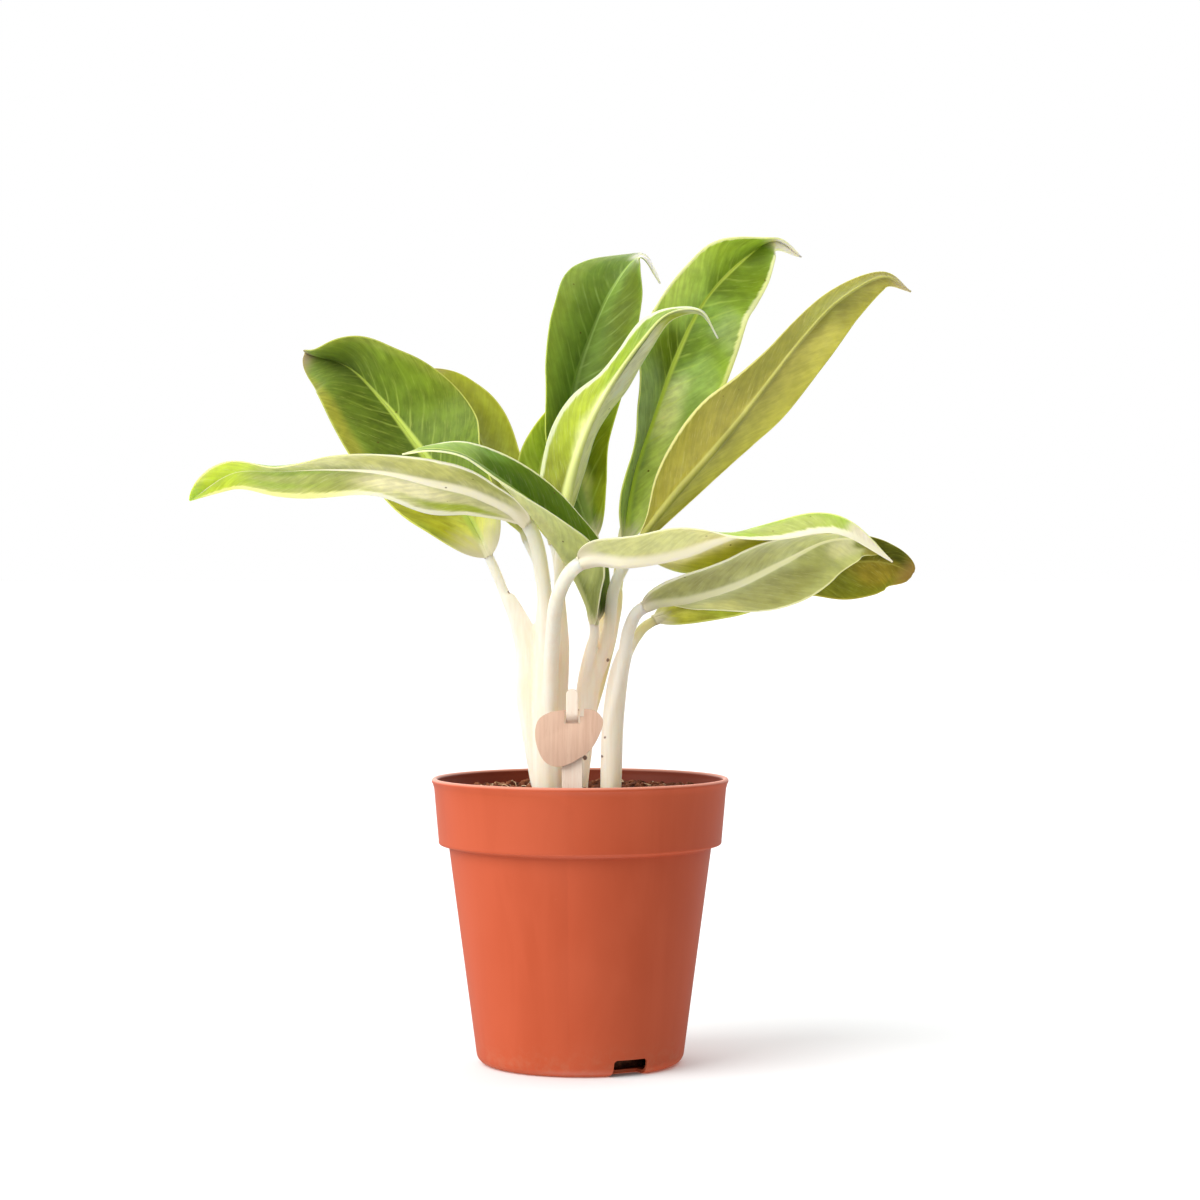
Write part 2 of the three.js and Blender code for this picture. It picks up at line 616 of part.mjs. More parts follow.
addMesh(plant, "pot", potGeometry(), COLOURS.plastic, 0.45);
addMesh(plant, "soil", soilGeometry(), COLOURS.soil, 0.95);
addMesh(plant, "label_disc", discGeometry(), COLOURS.wood, 0.7);
addMesh(plant, "label_stake", geometryFromSolid(stakeFront().intersect(stakeSide())), COLOURS.wood, 0.7);
for (const name of Object.keys(SHOOTS)) {
  addMesh(plant, name, stemGeometry(name, routes), COLOURS.stem, 0.5);
}
for (const leaf of LEAVES) {
  const colour = leaf.face > 0 ? COLOURS.upper : COLOURS.under;
  addMesh(plant, leaf.name, bladeGeometry(leaf, routes.get(leaf)), colour, 0.5);
}

export default plant;
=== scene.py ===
"""The looks of a potted aglaonema: waxy variegated leaves on cream stalks, a terracotta-coloured plastic pot
with crumbly potting mix, and a bare wooden label. Lengths are in millimetres in the part's frame, and colours
of three numbers are as they look on a screen, 0 to 255."""

import math
import random

import bmesh
import bpy
import numpy as np
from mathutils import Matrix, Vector, noise


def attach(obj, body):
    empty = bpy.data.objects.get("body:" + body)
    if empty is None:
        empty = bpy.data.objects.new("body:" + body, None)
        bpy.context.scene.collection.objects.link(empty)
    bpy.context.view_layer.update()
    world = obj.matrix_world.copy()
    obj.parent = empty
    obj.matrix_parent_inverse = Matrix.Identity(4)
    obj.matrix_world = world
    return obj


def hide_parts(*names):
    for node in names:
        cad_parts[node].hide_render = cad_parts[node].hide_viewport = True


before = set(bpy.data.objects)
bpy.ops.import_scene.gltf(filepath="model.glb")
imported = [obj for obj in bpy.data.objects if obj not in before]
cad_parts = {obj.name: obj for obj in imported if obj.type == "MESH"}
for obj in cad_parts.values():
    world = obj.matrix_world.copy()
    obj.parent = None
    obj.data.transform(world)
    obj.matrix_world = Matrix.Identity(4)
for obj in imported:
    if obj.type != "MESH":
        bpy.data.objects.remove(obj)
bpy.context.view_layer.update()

MM = 0.001
AWAY = np.array([0.0, 1.0, 0.0])
EVEN = (1, 1, 1)

# Camera: a pinhole in front of the pot, a little to its right, looking slightly down
CAMERA_MM = (8, -1250, 202)
CAMERA_PITCH = math.radians(0.7)
CAMERA_LENS = 92.8
CAMERA_SENSOR = 36

# Light: a bright left and a darker right, as from one large soft window
FILL_LEFT = 1.1
FILL_RIGHT = 0.33
BACKDROP = 1.1
SUNS = {"key": (2.6, (-0.75, -0.5, 0.66)), "rim": (0.55, (0.9, 0.6, 0.8)), "bounce": (1.9, (0, -0.15, -1))}
SUN_SOFTNESS = math.radians(50)
FLOOR_BOUNCE = 0.35
FLOOR_SEEN = (236, 238, 238)
FLOOR_REACH = 30000
FLOOR_GAP = 0.0002

# Blades
ROUTE_SAMPLES = 800
HEADING_REACH = 0.003
BLADE_STEPS = 180
BASE_CROWDING = 1.15
END_GAP = 0.0004
RIB_COLUMNS = 6
WING_COLUMNS = 22
WING_CROWDING = 0.92
WIDEST_RIB = 0.9
MIDDLE_THICKNESS = 0.7
EDGE_THICKNESS = 0.35
BASE_HALF_WIDTH = 2.4
TIP_HALF_WIDTH = 0.4
FULL_WAVE_WIDTH = 10
STARBOARD_WAVE_LAG = 2.1
VEIN_SPACING = 8
VEIN_DEPTH = 0.06
VEIN_SLANT = 0.75
VEIN_BEND = 0.55
STARBOARD_VEIN_LAG = 0.42
PUCKER = 0.2
PUCKER_SIZE = 14
FINE_PUCKER_SIZE = 5
FINE_PUCKER_SHARE = 0.3
PATCH_RAGGEDNESS = 0.3
FLUSH_SHARE = 0.07
FOOT_SINK = 0.2
RIB_TAPER = 0.8
RIB_DIP = 0.08
RIB_REACH = 1.15
RIDGE_HEIGHT = 1.1
RIDGE_REACH = 2.2
RIDGE_FADE = 1.8
LEAF_GLOSS = 0.1
CREAM = (247, 238, 205)

# Stalks and canes. A stalk's end and a cane's crown list how far on each ring is and how much of the size it
# keeps, and a cane's fine ribs how high they are, how many run round it and how far they wind.
STALK_STEPS = 60
STALK_SIDES = 40
STALK_RUN_ON = 6
STALK_END = ((0.35, 0.71), (0.7, 0.5), (1, 0.32))
CANE_STEPS = 90
CANE_SIDES = 96
CANE_TRIM = 0.25
CANE_CROWN = ((0.9, 0.82), (1.6, 0.5), (1.9, 0.15))
CANE_RIBS = ((0.05, 17, 2), (0.04, 29, 0))
SHEATH_STEP = 0.5
SHEATH_RISE = 5
SHEATH_FALL = (10, 110)
SHEATH_END = (0.08, 0.04)
MELT_VOXEL = 0.5
MELT_ROUNDS = 16

# Pot
POT_HEIGHT = 115
LIP_RADIUS = 60
LIP_HEIGHT = 2.2
LIP_ROUNDING = 1.15
BAND_TOP_RADIUS = 59
BAND_BOTTOM_RADIUS = 57.2
BAND_HEIGHT = 23.8
BAND_ROUNDING = 1.0
LEDGE_ROUNDING = 1.2
WALL_TOP_RADIUS = 53.4
WALL_FOOT_RADIUS = 42
FOOT_ROUNDING = 4.5
POT_WALL = 1.3
POT_FLAT_RINGS = (0.02, 18, 33)
POT_EDGE_ANGLE = 38
POT_SIDES = 256
NOTCH_WIDTH = 15
NOTCH_HEIGHT = 6.5
NOTCH_DEPTH = 9
NOTCH_ROUNDING = 1.5
NOTCH_TURNS = (29, 209)

# Soil. Its side is given as radii and heights, and the canes as x, y and the radius to keep clear of. A
# crumb's stretch along x, y and z is drawn between two limits for each.
SOIL_TOP = 109
SOIL_RADIUS = 56.6
SOIL_RINGS = 70
SOIL_SIDES = 220
SOIL_SIDE = ((55.2, 91), (51.3, 87.5), (41.5, 9), (39.5, 7.5), (32.2, 7.5), (32.2, 1.8), (0.5, 1.8))
CANES_IN_SOIL = ((-12.6, -2, 7.2), (-0.4, 3.5, 4.6), (12.4, 1, 4.8))
CRUMBS = 900
CRUMB_SIZES = (0.5, 1.9)
CRUMB_STRETCH = ((0.7, 1.3), (0.7, 1.3), (0.45, 0.9))
CRUMB_ROUGHNESS = 0.42
CRUMB_GRAIN = 1.7
CRUMB_LIFT = 0.15
CRUMB_STEM_SHARE = 0.6
STAKE_CLEARANCE = (5, 2.5)
FIBRES = 120
FIBRE_LENGTHS = (3, 9)
FIBRE_BEND = 1.2
FIBRE_RADII = (0.1, 0.24)
FIBRE_LIFT = 0.3
FIBRE_ARCH = 1.1
FIBRE_EDGE_GAP = 1.5
FIBRE_TAPER = 0.6
STRAND_SIDES = 6
STRAND_STEPS = 13
RAISED_FIBRES = (
    [(20, -50, 108.5), (19, -50.5, 112), (21, -49, 114.3), (23.5, -47, 113.5)],
    [(44, -34, 109), (49, -30, 111.5), (51, -25, 114)],
)

# Label
LABEL_DEPTH = -51
DISC_CENTRE = (-4, 134)
DISC_THICKNESS = 1.5
DISC_BEVEL = 0.15
DISC_EDGE_ANGLE = 30
STAKE_X = -2.8
STAKE_WIDTH = 8
TONGUE_WIDTH = 4.6
STAKE_THICKNESS = 1.1
STAKE_EASING = 0.18
STAKE_EDGE_ANGLE = 35
STAKE_FOOT = 81
STAKE_TOP = 153
TONGUE_START = 136
SLOT_BOTTOM = 139.5
SLOT_HEIGHT = 4.9
SLOT_WIDTH = 6
NICK_BOTTOM = 142.2
NICK_TOP = 146
NICK_WIDTH = 1.6
FIT_GAP = 0.35
DISC_OUTLINE = [
    (-13.2, 1.2), (-11.8, 7), (-6.8, 9.9), (0, 10.8), (8, 11), (12, 8.8), (13.1, 4.8),
    (9.3, -3.5), (3.6, -8.3), (-3, -11.2), (-8.3, -10.2), (-11.6, -5.8),
]

# Each shoot's swollen parts, the cane first and then any sheath that wraps it: x, y, z and two half-widths
SHOOTS = {
    "stem_left": [
        [
            (-12.6, -2, 92, 6.9, 6.4), (-12.6, -2, 110, 6.9, 6.4), (-13, -2, 130, 7.4, 6.6),
            (-12.8, -1, 150, 7.6, 6.6), (-12, 0, 170, 7.2, 6.2), (-11.8, 0, 188, 5.6, 5.2),
        ],
        [
            (-15, -2, 112, 5, 3.6), (-18, -1.5, 132, 5.6, 3.4), (-20.5, -1, 150, 5.9, 3),
            (-21.7, -0.5, 166, 4.9, 2.4), (-24.5, 0, 178, 4.4, 1.8), (-28.5, 1, 188, 2.6, 1.4),
        ],
    ],
    "stem_middle": [
        [
            (-0.4, 3.5, 92, 3.8, 4.7), (-0.4, 3.5, 111, 3.8, 4.7), (0.8, 4, 130, 4.4, 4.8),
            (2.8, 4, 150, 4.8, 4.8), (7.2, 5, 166, 5.9, 4.6), (11.9, 8.5, 182, 4.8, 3.2),
            (13.5, 9.5, 191, 3.8, 2.8),
        ],
    ],
    "stem_right": [
        [
            (12.4, 1, 92, 4.4, 4.4), (12.4, 1, 111, 4.4, 4.4), (13, 0.5, 135, 4.4, 4.2),
            (15.2, 0, 155, 4, 4), (18, 0, 166, 3.2, 4.6),
        ],
    ],
}

# Where the edges of the sheaths that wrap a cane show: the turn at the bottom, the turn at the top, and the
# shares of the cane's height between which the edge runs
SHEATH_EDGES = {
    "stem_left": [
        (250, 272, 0, 1), (286, 300, 0, 0.8), (225, 205, 0.2, 1), (330, 318, 0.1, 1), (120, 100, 0, 1),
    ],
    "stem_middle": [(262, 276, 0, 1), (310, 300, 0.25, 1), (80, 60, 0, 1)],
    "stem_right": [(256, 270, 0, 1), (300, 316, 0.3, 1), (100, 120, 0, 1)],
}

# Brown marks on the stems, as places seen from the front in mm, x and z, and their radii
STEM_MARKS = [
    (11.2, 162.4, 0.7), (10, 131.3, 0.5), (8.8, 123.6, 0.5), (1.9, 123, 0.9), (-28.6, 190, 0.7),
    (-26, 190.6, 0.6), (-41, 203.4, 0.5), (-39.5, 201.8, 0.6), (-38, 200.2, 0.6),
]

# The twelve leaves. A leaf's route runs up its stalk and along its midrib. Face 1 shows its upper side to the
# front, and -1 its underside. Half is its greatest half-width, base and tip shape its outline, bow and wave
# curve its sheet, and radius is its stalk's at the foot and at the blade. Port and star list how far each
# half is turned away from the picture plane, in degrees, at even steps from base to tip.
# Top and back are the ground colours of the upper side and the underside. The rib is the midrib's line on
# top and the keel the one on the back: colour, strength and half-widths from base to tip. The margins' colour
# goes from the first to the second, and their port and starboard widths run from base to tip too. A patch
# lies at a share of the length and a place across, reaches so far along and across, and has a colour and a
# strength. Mottle is how uneven the ground is, veins how strong the side veins are, base_fade how far the
# stalk's cream runs into the blade, and gloss replaces the usual one.
LEAVES = [dict(
    name="upper_left", stem="stem_left", face=1, half=28, base=0.5, tip=0.55,
    bow=0.06, wave=0.4, waves=2, radius=(3.2, 2),
    stalk=[(-14, -2, 108), (-17, -2, 128), (-20, -1, 150), (-24, 0, 171), (-31, 3, 190)],
    midrib=[
        (-37, 6, 204), (-46, 13, 221), (-57, 22, 236), (-69, 31, 252), (-82, 41, 268.5),
        (-97.5, 51, 284), (-116.5, 59.8, 291),
    ],
    port=[-36, -29, -29, -35, -24], star=[-40, -40, -38, -28, -12, -9, -24, -41, -54, -84, -90],
    top=(104, 125, 46), back=(140, 153, 88), tip_colour=(136, 118, 96), mottle=0.8, veins=0.4,
    base_fade=0.1,
    rib=((190, 204, 100), 1, [3.4, 3, 2.4, 1.8, 1.2, 0.5]), keel=((205, 208, 140), 0.8, [3, 2, 1.2, 0.6]),
    margins=((204, 208, 110), (160, 165, 90), [0.6, 0.6, 0.5], [0.5, 0.5, 0.4]),
    top_patches=[
        (0.62, -0.45, 0.34, 0.42, (86, 104, 30), 0.9), (0.62, 0.5, 0.3, 0.4, (110, 133, 41), 0.8),
        (0.86, 0.1, 0.14, 0.8, (95, 112, 48), 0.6), (0.6, -0.95, 0.4, 0.2, (136, 132, 50), 0.8),
        (0.14, -0.6, 0.16, 0.4, (162, 160, 41), 0.9), (0.07, 0.2, 0.13, 0.8, (206, 206, 99), 0.9),
        (0.7, 0.97, 0.3, 0.12, (130, 141, 69), 0.6),
    ],
), dict(
    name="back_left", stem="stem_left", face=-1, half=20, base=0.8, tip=0.64,
    bow=0.06, wave=0.6, waves=2, radius=(3, 2.4),
    stalk=[(-13, 0, 108), (-12, 4, 146), (-13, 8, 170), (-15, 12, 195)],
    midrib=[
        (-21, 17, 210), (-30, 25, 225), (-38, 34, 243), (-47, 44, 262), (-56, 53, 276), (-63, 59.8, 284),
    ],
    port=[80, 70, 52, 45, 50], star=[50, 50, 46, 41, 38],
    top=(102, 126, 46), back=(147, 151, 43), tip_colour=(150, 140, 80), mottle=0.5, veins=0.15,
    base_fade=0.08,
    rib=((196, 205, 120), 0.6, [2, 1.2, 0.5]), keel=((180, 184, 84), 0.4, [2, 1.4, 0.6]),
    margins=((196, 200, 100), (180, 180, 90), [0.7, 0.5], [0.9, 0.6]),
    back_patches=[
        (0.7, -0.1, 0.4, 0.6, (138, 141, 35), 0.7), (0.16, 0, 0.25, 1, (182, 188, 86), 0.8),
        (0.5, 0.8, 0.4, 0.3, (158, 164, 71), 0.6),
    ],
), dict(
    name="back_centre", stem="stem_left", face=1, half=10.5, base=0.8, tip=0.9,
    bow=0.06, wave=0.4, waves=2, radius=(2.8, 1.7),
    stalk=[(-12, 0, 108), (-11, 4, 146), (-10, 9, 170), (-9, 15, 195)],
    midrib=[(-11, 20, 209), (-15, 27, 225), (-17, 37, 240), (-13, 43, 254), (-8, 47, 266), (-3, 50, 276)],
    port=[-30, -30, -25, -35, -50], star=[-40, -40, -40, -45, -50],
    top=(150, 172, 62), back=(165, 180, 90), tip_colour=(170, 180, 80), mottle=0.6, veins=0.2,
    base_fade=0.12,
    rib=((200, 212, 110), 0.7, [1.6, 1, 0.4]), keel=((200, 208, 120), 0.6, [1.6, 1, 0.4]),
    margins=((208, 216, 120), (196, 206, 100), [0.7, 0.6], [0.7, 0.6]),
    top_patches=[
        (0.2, 0, 0.3, 1, (188, 202, 92), 0.8),
    ],
), dict(
    name="far_left", stem="stem_left", face=-1, half=20, base=0.5, tip=0.62,
    bow=0.06, wave=0.9, waves=3, radius=(3.4, 3),
    stalk=[(-13, -3, 108), (-13, -4, 146), (-14, -5, 171), (-15, -6, 195)],
    midrib=[
        (-21, -8, 217), (-40, -13, 229), (-60, -19, 234), (-79, -24, 238), (-99, -29, 239),
        (-118, -34, 238), (-136, -39, 237), (-152, -44, 226),
    ],
    port=[55, 50, 60, 52, 84], star=[-65, -65, -71, -86, -45],
    top=(124, 158, 56), back=(196, 196, 148), tip_colour=(165, 200, 60), mottle=0.6, veins=0.12,
    base_fade=0.06,
    rib=((226, 232, 150), 0.8, [2.4, 1.6, 0.8, 0.4]),
    keel=((250, 243, 219), 0.95, [4, 3.1, 2.8, 1.8, 0.7, 0.1, 0.1, 0.1]),
    margins=((250, 247, 222), (236, 236, 172), [2, 2.2, 2.4, 3.2, 3, 2.2, 1.2],
    [2, 2.4, 2.8, 2.8, 2.2, 1.4, 0.8]),
    top_patches=[
        (0.8, 0, 0.2, 1, (150, 186, 60), 0.8),
    ],
    back_patches=[
        (0.35, 0.5, 0.25, 0.45, (178, 178, 108), 0.9), (0.17, 0.75, 0.1, 0.3, (156, 160, 84), 0.8),
        (0.58, -0.4, 0.12, 0.7, (142, 148, 80), 0.9), (0.74, -0.4, 0.2, 0.9, (164, 174, 98), 0.95),
        (0.7, -0.1, 0.15, 0.16, (138, 162, 62), 0.7), (0.75, -0.62, 0.18, 0.12, (146, 174, 60), 0.5),
        (0.89, 0, 0.1, 1.2, (184, 204, 62), 0.95), (0.36, -0.5, 0.16, 0.3, (232, 224, 186), 0.8),
        (0.2, -0.74, 0.15, 0.14, (158, 172, 62), 0.95),
    ],
), dict(
    name="front_left", stem="stem_middle", face=1, half=20, base=0.45, tip=0.9,
    bow=0.06, wave=0.4, waves=2, radius=(2.6, 2),
    stalk=[(0, 3, 108), (0.5, 2, 132), (2, 1, 150), (4, -1, 163)],
    midrib=[
        (5.5, -3.5, 177), (-1, -6, 194), (-11, -12, 210), (-22, -20.5, 224), (-34, -29, 236),
        (-46, -36, 244), (-58, -41, 246), (-69, -45, 244),
    ],
    port=[-95, -115, -134, -128, -117, -107, -97, -88, -82, -78, -75],
    star=[54, 41, 33, 40, 43, 46, 53, 60, 66, 71, 75],
    top=(98, 128, 24), back=(194, 203, 138), tip_colour=(225, 230, 170), mottle=0.5, veins=0.15,
    base_fade=0.02,
    rib=((214, 222, 140), 0.7, [2, 1.4, 1, 0.8, 0.4]), keel=((206, 210, 146), 0.6, [2.2, 1.8, 1.4, 1, 0.5]),
    margins=((238, 240, 202), (236, 240, 190), [0.6, 0.8, 1.1, 1.4, 1.8, 2, 1.6, 1],
    [0.3, 0.3, 0.5, 0.9, 1.4, 1.7, 1.4, 1]),
    top_patches=[
        (0.42, 0.6, 0.26, 0.5, (84, 114, 8), 0.9), (0.62, 0.3, 0.12, 0.3, (80, 114, 8), 0.85),
        (0.7, 0.8, 0.1, 0.3, (118, 156, 58), 0.7), (0.84, 0.4, 0.12, 0.8, (150, 178, 82), 0.9),
        (0.1, 0.5, 0.14, 0.8, (76, 96, 42), 0.9),
    ],
    back_patches=[
        (0.12, -0.5, 0.14, 0.8, (120, 130, 68), 0.9), (0.3, -0.45, 0.16, 0.5, (194, 202, 132), 0.7),
        (0.46, -0.1, 0.16, 0.25, (206, 208, 142), 0.8), (0.66, -0.5, 0.12, 0.8, (224, 226, 184), 0.8),
    ],
), dict(
    name="tall", stem="stem_middle", face=1, half=21.5, base=0.6, tip=0.42,
    bow=0.06, wave=0.5, waves=2, radius=(2.8, 2.3),
    stalk=[(-1, 5, 108), (1, 7, 132), (6, 9, 154), (9.5, 12, 174), (9, 18, 195)],
    midrib=[
        (5, 24, 211), (-2, 29, 232), (-6, 31, 253), (-3, 35, 275), (4, 38, 296), (13, 40, 315),
        (25, 39.5, 329), (33, 38.5, 318),
    ],
    port=[-60, -62, -62, -62, -59, -50, -38, -21, 28, 82, 85],
    star=[5, 4, 2, -2, -8, -14, -24, -36, -50, -80, -88],
    top=(110, 136, 54), back=(149, 160, 93), tip_colour=(252, 240, 226), mottle=0.6, veins=0.5,
    base_fade=0.05,
    rib=((170, 194, 108), 0.75, [3, 3.2, 3, 2.4, 1.6, 1.1, 0.8, 0.5]),
    keel=((190, 198, 130), 0.7, [2.4, 1.6, 0.8]),
    margins=((176, 192, 92), (150, 168, 84), [0.5, 0.4, 0.4], [0.6, 0.4]),
    top_patches=[
        (0.86, -0.5, 0.12, 0.6, (86, 110, 33), 0.8), (0.68, -0.85, 0.22, 0.22, (130, 149, 65), 0.7),
        (0.76, 0.6, 0.2, 0.4, (91, 106, 24), 0.8), (0.52, -0.5, 0.18, 0.6, (117, 143, 65), 0.7),
        (0.26, 0.8, 0.18, 0.45, (82, 102, 2), 0.95), (0.1, 0.8, 0.07, 0.4, (140, 153, 46), 0.8),
        # The near-white patch at 0.96 of the length, here and on the back, and the tip colour are partly the
        # tip's own pink-cream and partly painted light, for a tip in shade.
        (0.12, 0.1, 0.14, 0.4, (210, 212, 156), 0.7), (0.96, 0, 0.07, 3, (255, 246, 234), 1),
    ],
    back_patches=[
        (0.96, 0, 0.07, 3, (255, 246, 234), 1),
    ],
), dict(
    name="folded", stem="stem_left", face=-1, half=19, base=0.5, tip=1,
    bow=0.04, wave=0.5, waves=2, radius=(3, 2.6),
    stalk=[(-12, -2, 108), (-11, 0, 146), (-10, 2, 171), (-8, 3, 195)],
    midrib=[
        (-7, 4, 213), (-3, 3, 236), (3.5, -2, 256), (13, -6, 274), (24.5, -9, 290), (35, -13, 301),
        (48, -16, 302), (55, -18, 291),
    ],
    port=[20, 30, 37, 42, 51, 67, 66, 60, 78, 82, 84],
    star=[84, 80, 79, 80, 75, 68, 71, 75, 77, 78, 80],
    top=(120, 150, 50), back=(176, 188, 76), tip_colour=(226, 230, 196), mottle=0.6, veins=0.2,
    base_fade=0.06,
    rib=((215, 225, 130), 0.8, [2, 1.4, 0.8]),
    keel=((222, 228, 150), 0.8, [4.6, 3.8, 3, 2, 1.3, 1, 0.8, 0.6]),
    margins=((226, 232, 184), (228, 234, 192), [1.4, 1.8, 2.2, 2.6, 2.8, 2.6, 2, 1.4], [0.8, 1, 1, 0.8]),
    back_patches=[
        (0.14, -0.45, 0.16, 0.6, (130, 134, 46), 0.9), (0.36, -0.45, 0.18, 0.45, (166, 180, 50), 0.85),
        (0.6, -0.45, 0.14, 0.5, (138, 162, 42), 0.9), (0.75, -0.4, 0.12, 0.6, (122, 148, 50), 0.9),
        # The two near-white patches on the starboard half are painted light, brighter than the half's own
        # pale colour, for a half turned from the light.
        (0.36, 0.5, 0.36, 0.7, (254, 254, 196), 1), (0.6, 0.55, 0.14, 0.5, (255, 250, 222), 0.95),
        (0.66, 0.14, 0.16, 0.12, (96, 118, 24), 0.9), (0.92, 0, 0.1, 1.2, (236, 240, 200), 0.9),
    ],
), dict(
    name="upper_right", stem="stem_middle", face=1, half=24, base=0.65, tip=0.75,
    bow=0.07, wave=1, waves=3, radius=(2.8, 2.2),
    stalk=[(0, 5, 108), (2, 6, 132), (8, 8, 154), (13, 9, 174), (15, 13, 191)],
    midrib=[
        (17, 17, 209), (21, 23, 236), (29, 29, 260), (38, 34, 284), (49, 38, 307), (63, 41, 324),
        (80, 42, 336), (92, 40, 329),
    ],
    port=[-80, -80, -80, -72, -66, -46, -44, -46, -44, -80, -80],
    star=[-20, -20, -20, -16, -10, -6, -8, -20, 0, -44, -65],
    top=(142, 172, 74), back=(160, 180, 100), tip_colour=(252, 240, 226), mottle=0.7, veins=0.35,
    base_fade=0.05,
    rib=((220, 236, 120), 1, [3.2, 2.8, 2.4, 2, 1.6, 1.3, 1, 0.6]),
    keel=((210, 220, 140), 0.8, [2.2, 1.4, 0.6]),
    margins=((214, 230, 136), (236, 242, 190), [1, 0.9, 0.9, 1, 1.3, 1.3, 1],
    [1, 1, 1.2, 1.8, 2.2, 2.4, 2, 1.2]),
    top_patches=[
        (0.66, -0.5, 0.16, 0.7, (190, 216, 122), 0.9), (0.8, 0.4, 0.13, 0.7, (114, 138, 38), 0.95),
        # The greyish patch at 0.62 of the length, 0.7 across, is a painted highlight: sheen on the glossy
        # upper side.
        (0.82, -0.4, 0.12, 0.6, (142, 166, 56), 0.85), (0.62, 0.7, 0.07, 0.4, (152, 172, 124), 0.75),
        (0.54, 0.4, 0.07, 0.5, (124, 152, 48), 0.8), (0.45, 0.55, 0.09, 0.45, (160, 188, 112), 0.85),
        # The near-white patch at 0.3 of the length, 0.2 across, is painted light, lifting a place that lies
        # in shade.
        (0.3, 0.2, 0.16, 0.36, (238, 250, 190), 1), (0.18, 0.45, 0.16, 0.6, (186, 204, 118), 0.9),
        # The dark patch at 0.5 of the length, 0.35 to port, is a painted shadow cast by the folded leaf.
        (0.5, -0.35, 0.1, 0.45, (104, 124, 20), 0.95), (0.28, -0.6, 0.2, 0.7, (138, 158, 110), 0.8),
        # The near-white tip patch and the tip colour are partly the tip's own pink-cream and partly painted
        # light, for a tip in shade.
        (0.96, 0, 0.06, 3, (255, 246, 234), 1),
    ],
), dict(
    name="olive_right", stem="stem_middle", face=-1, half=19.5, base=0.85, tip=0.95,
    bow=0.06, wave=0.6, waves=2, radius=(3, 2.4),
    stalk=[(0, 3, 108), (1, 3, 132), (6, 2, 154), (11.5, 1, 175), (13.3, 0, 190)],
    midrib=[
        (18, -2, 201), (26, -4, 213.5), (38, -7, 228.5), (52, -11, 244.5), (66, -16, 261.5),
        (78, -21, 277.5), (89, -26, 291.5), (102, -31, 305), (119, -35, 314), (130, -36, 308),
    ],
    port=[88, 70, 38, 28, 33, 52, 62, 64, 66, 68, 70],
    star=[62, 66, 66, 63, 55, 45, 42, 37, 29, 26, 45],
    top=(102, 126, 48), back=(134, 128, 56), tip_colour=(176, 160, 130), mottle=0.5, veins=0.15,
    base_fade=0.03,
    rib=((190, 200, 120), 0.7, [2, 1.2, 0.6]),
    keel=((192, 190, 112), 0.5, [2.6, 2, 1.5, 1.1, 0.9, 0.7, 0.4]),
    margins=((236, 228, 154), (176, 172, 100), [0.9, 1.1, 1.2, 1, 0.5, 0.3], [0.4, 0.4]),
    back_patches=[
        # The pale patch at 0.5 of the length on the starboard half is painted light, lifting a half that
        # faces down and away from the light.
        (0.24, -0.3, 0.22, 0.7, (152, 143, 56), 0.8), (0.5, 0.55, 0.5, 0.6, (206, 198, 108), 0.9),
        (0.62, -0.6, 0.16, 0.5, (118, 116, 46), 0.8), (0.8, -0.2, 0.12, 0.7, (132, 134, 54), 0.7),
        (0.84, 0.6, 0.1, 0.5, (146, 142, 70), 0.8),
    ],
), dict(
    name="long_right", stem="stem_left", face=-1, half=18, base=0.42, tip=0.85,
    bow=0.05, wave=0.6, waves=2, radius=(3.4, 2.9),
    stalk=[(-12.5, -4, 108), (-12, -7, 147), (-11, -14, 171), (-8.5, -23, 189)],
    midrib=[
        (0.5, -31.5, 201.5), (19, -36.5, 201), (38, -38, 204), (55, -40, 211), (74, -44, 217),
        (92, -49, 221), (106, -53, 217), (121, -55, 202),
    ],
    port=[-42, -50, -52, -96, -128, -140, -130], star=[120, 112, 96, 66, 48, 48, 52, 62, 74, 84, 88],
    top=(160, 186, 76), back=(214, 205, 152), tip_colour=(244, 233, 215), mottle=0.5, veins=0.1,
    base_fade=0.04,
    rib=((226, 232, 150), 0.7, [2, 1.2, 0.8, 0.6]),
    keel=((247, 239, 217), 0.95, [5, 4.6, 4, 3, 2.2, 1.4, 1, 0.8]),
    margins=((244, 241, 200), (246, 238, 210), [1, 1, 1.1, 1.6, 2.6, 3.2, 3, 2],
    [1, 1.1, 1.3, 1.4, 1.4, 1.2, 1]),
    top_patches=[
        (0.65, -0.5, 0.16, 0.5, (168, 176, 102), 0.9), (0.92, 0, 0.08, 2, (244, 232, 212), 0.95),
    ],
    back_patches=[
        (0.2, -0.6, 0.25, 0.5, (200, 205, 150), 0.7), (0.42, 0.65, 0.14, 0.45, (198, 192, 90), 0.95),
        (0.56, 0.6, 0.12, 0.4, (172, 170, 76), 0.8), (0.9, 0, 0.1, 2, (244, 232, 212), 0.95),
    ],
), dict(
    name="low_right", stem="stem_right", face=-1, half=20, base=0.5, tip=0.62,
    bow=0.05, wave=0.6, waves=2, radius=(3, 2.6),
    stalk=[(12, 0, 108), (12, -1, 132), (14, -2, 146), (17.5, -4, 163), (20, -7, 176)],
    midrib=[
        (26, -11, 184), (44, -18, 187), (62, -22, 193), (80, -25, 202), (97, -27, 210.5),
        (111, -31, 211), (119, -33, 206),
    ],
    port=[-65, -58, -54, -54, -55, -56, -62, -72, -80, -80, -76], star=[88, 68, 30, 15, 40],
    top=(120, 145, 60), back=(183, 187, 135), tip_colour=(134, 126, 60), mottle=0.5, veins=0.15,
    base_fade=0.05,
    rib=((214, 220, 150), 0.7, [2, 1.2, 0.6]),
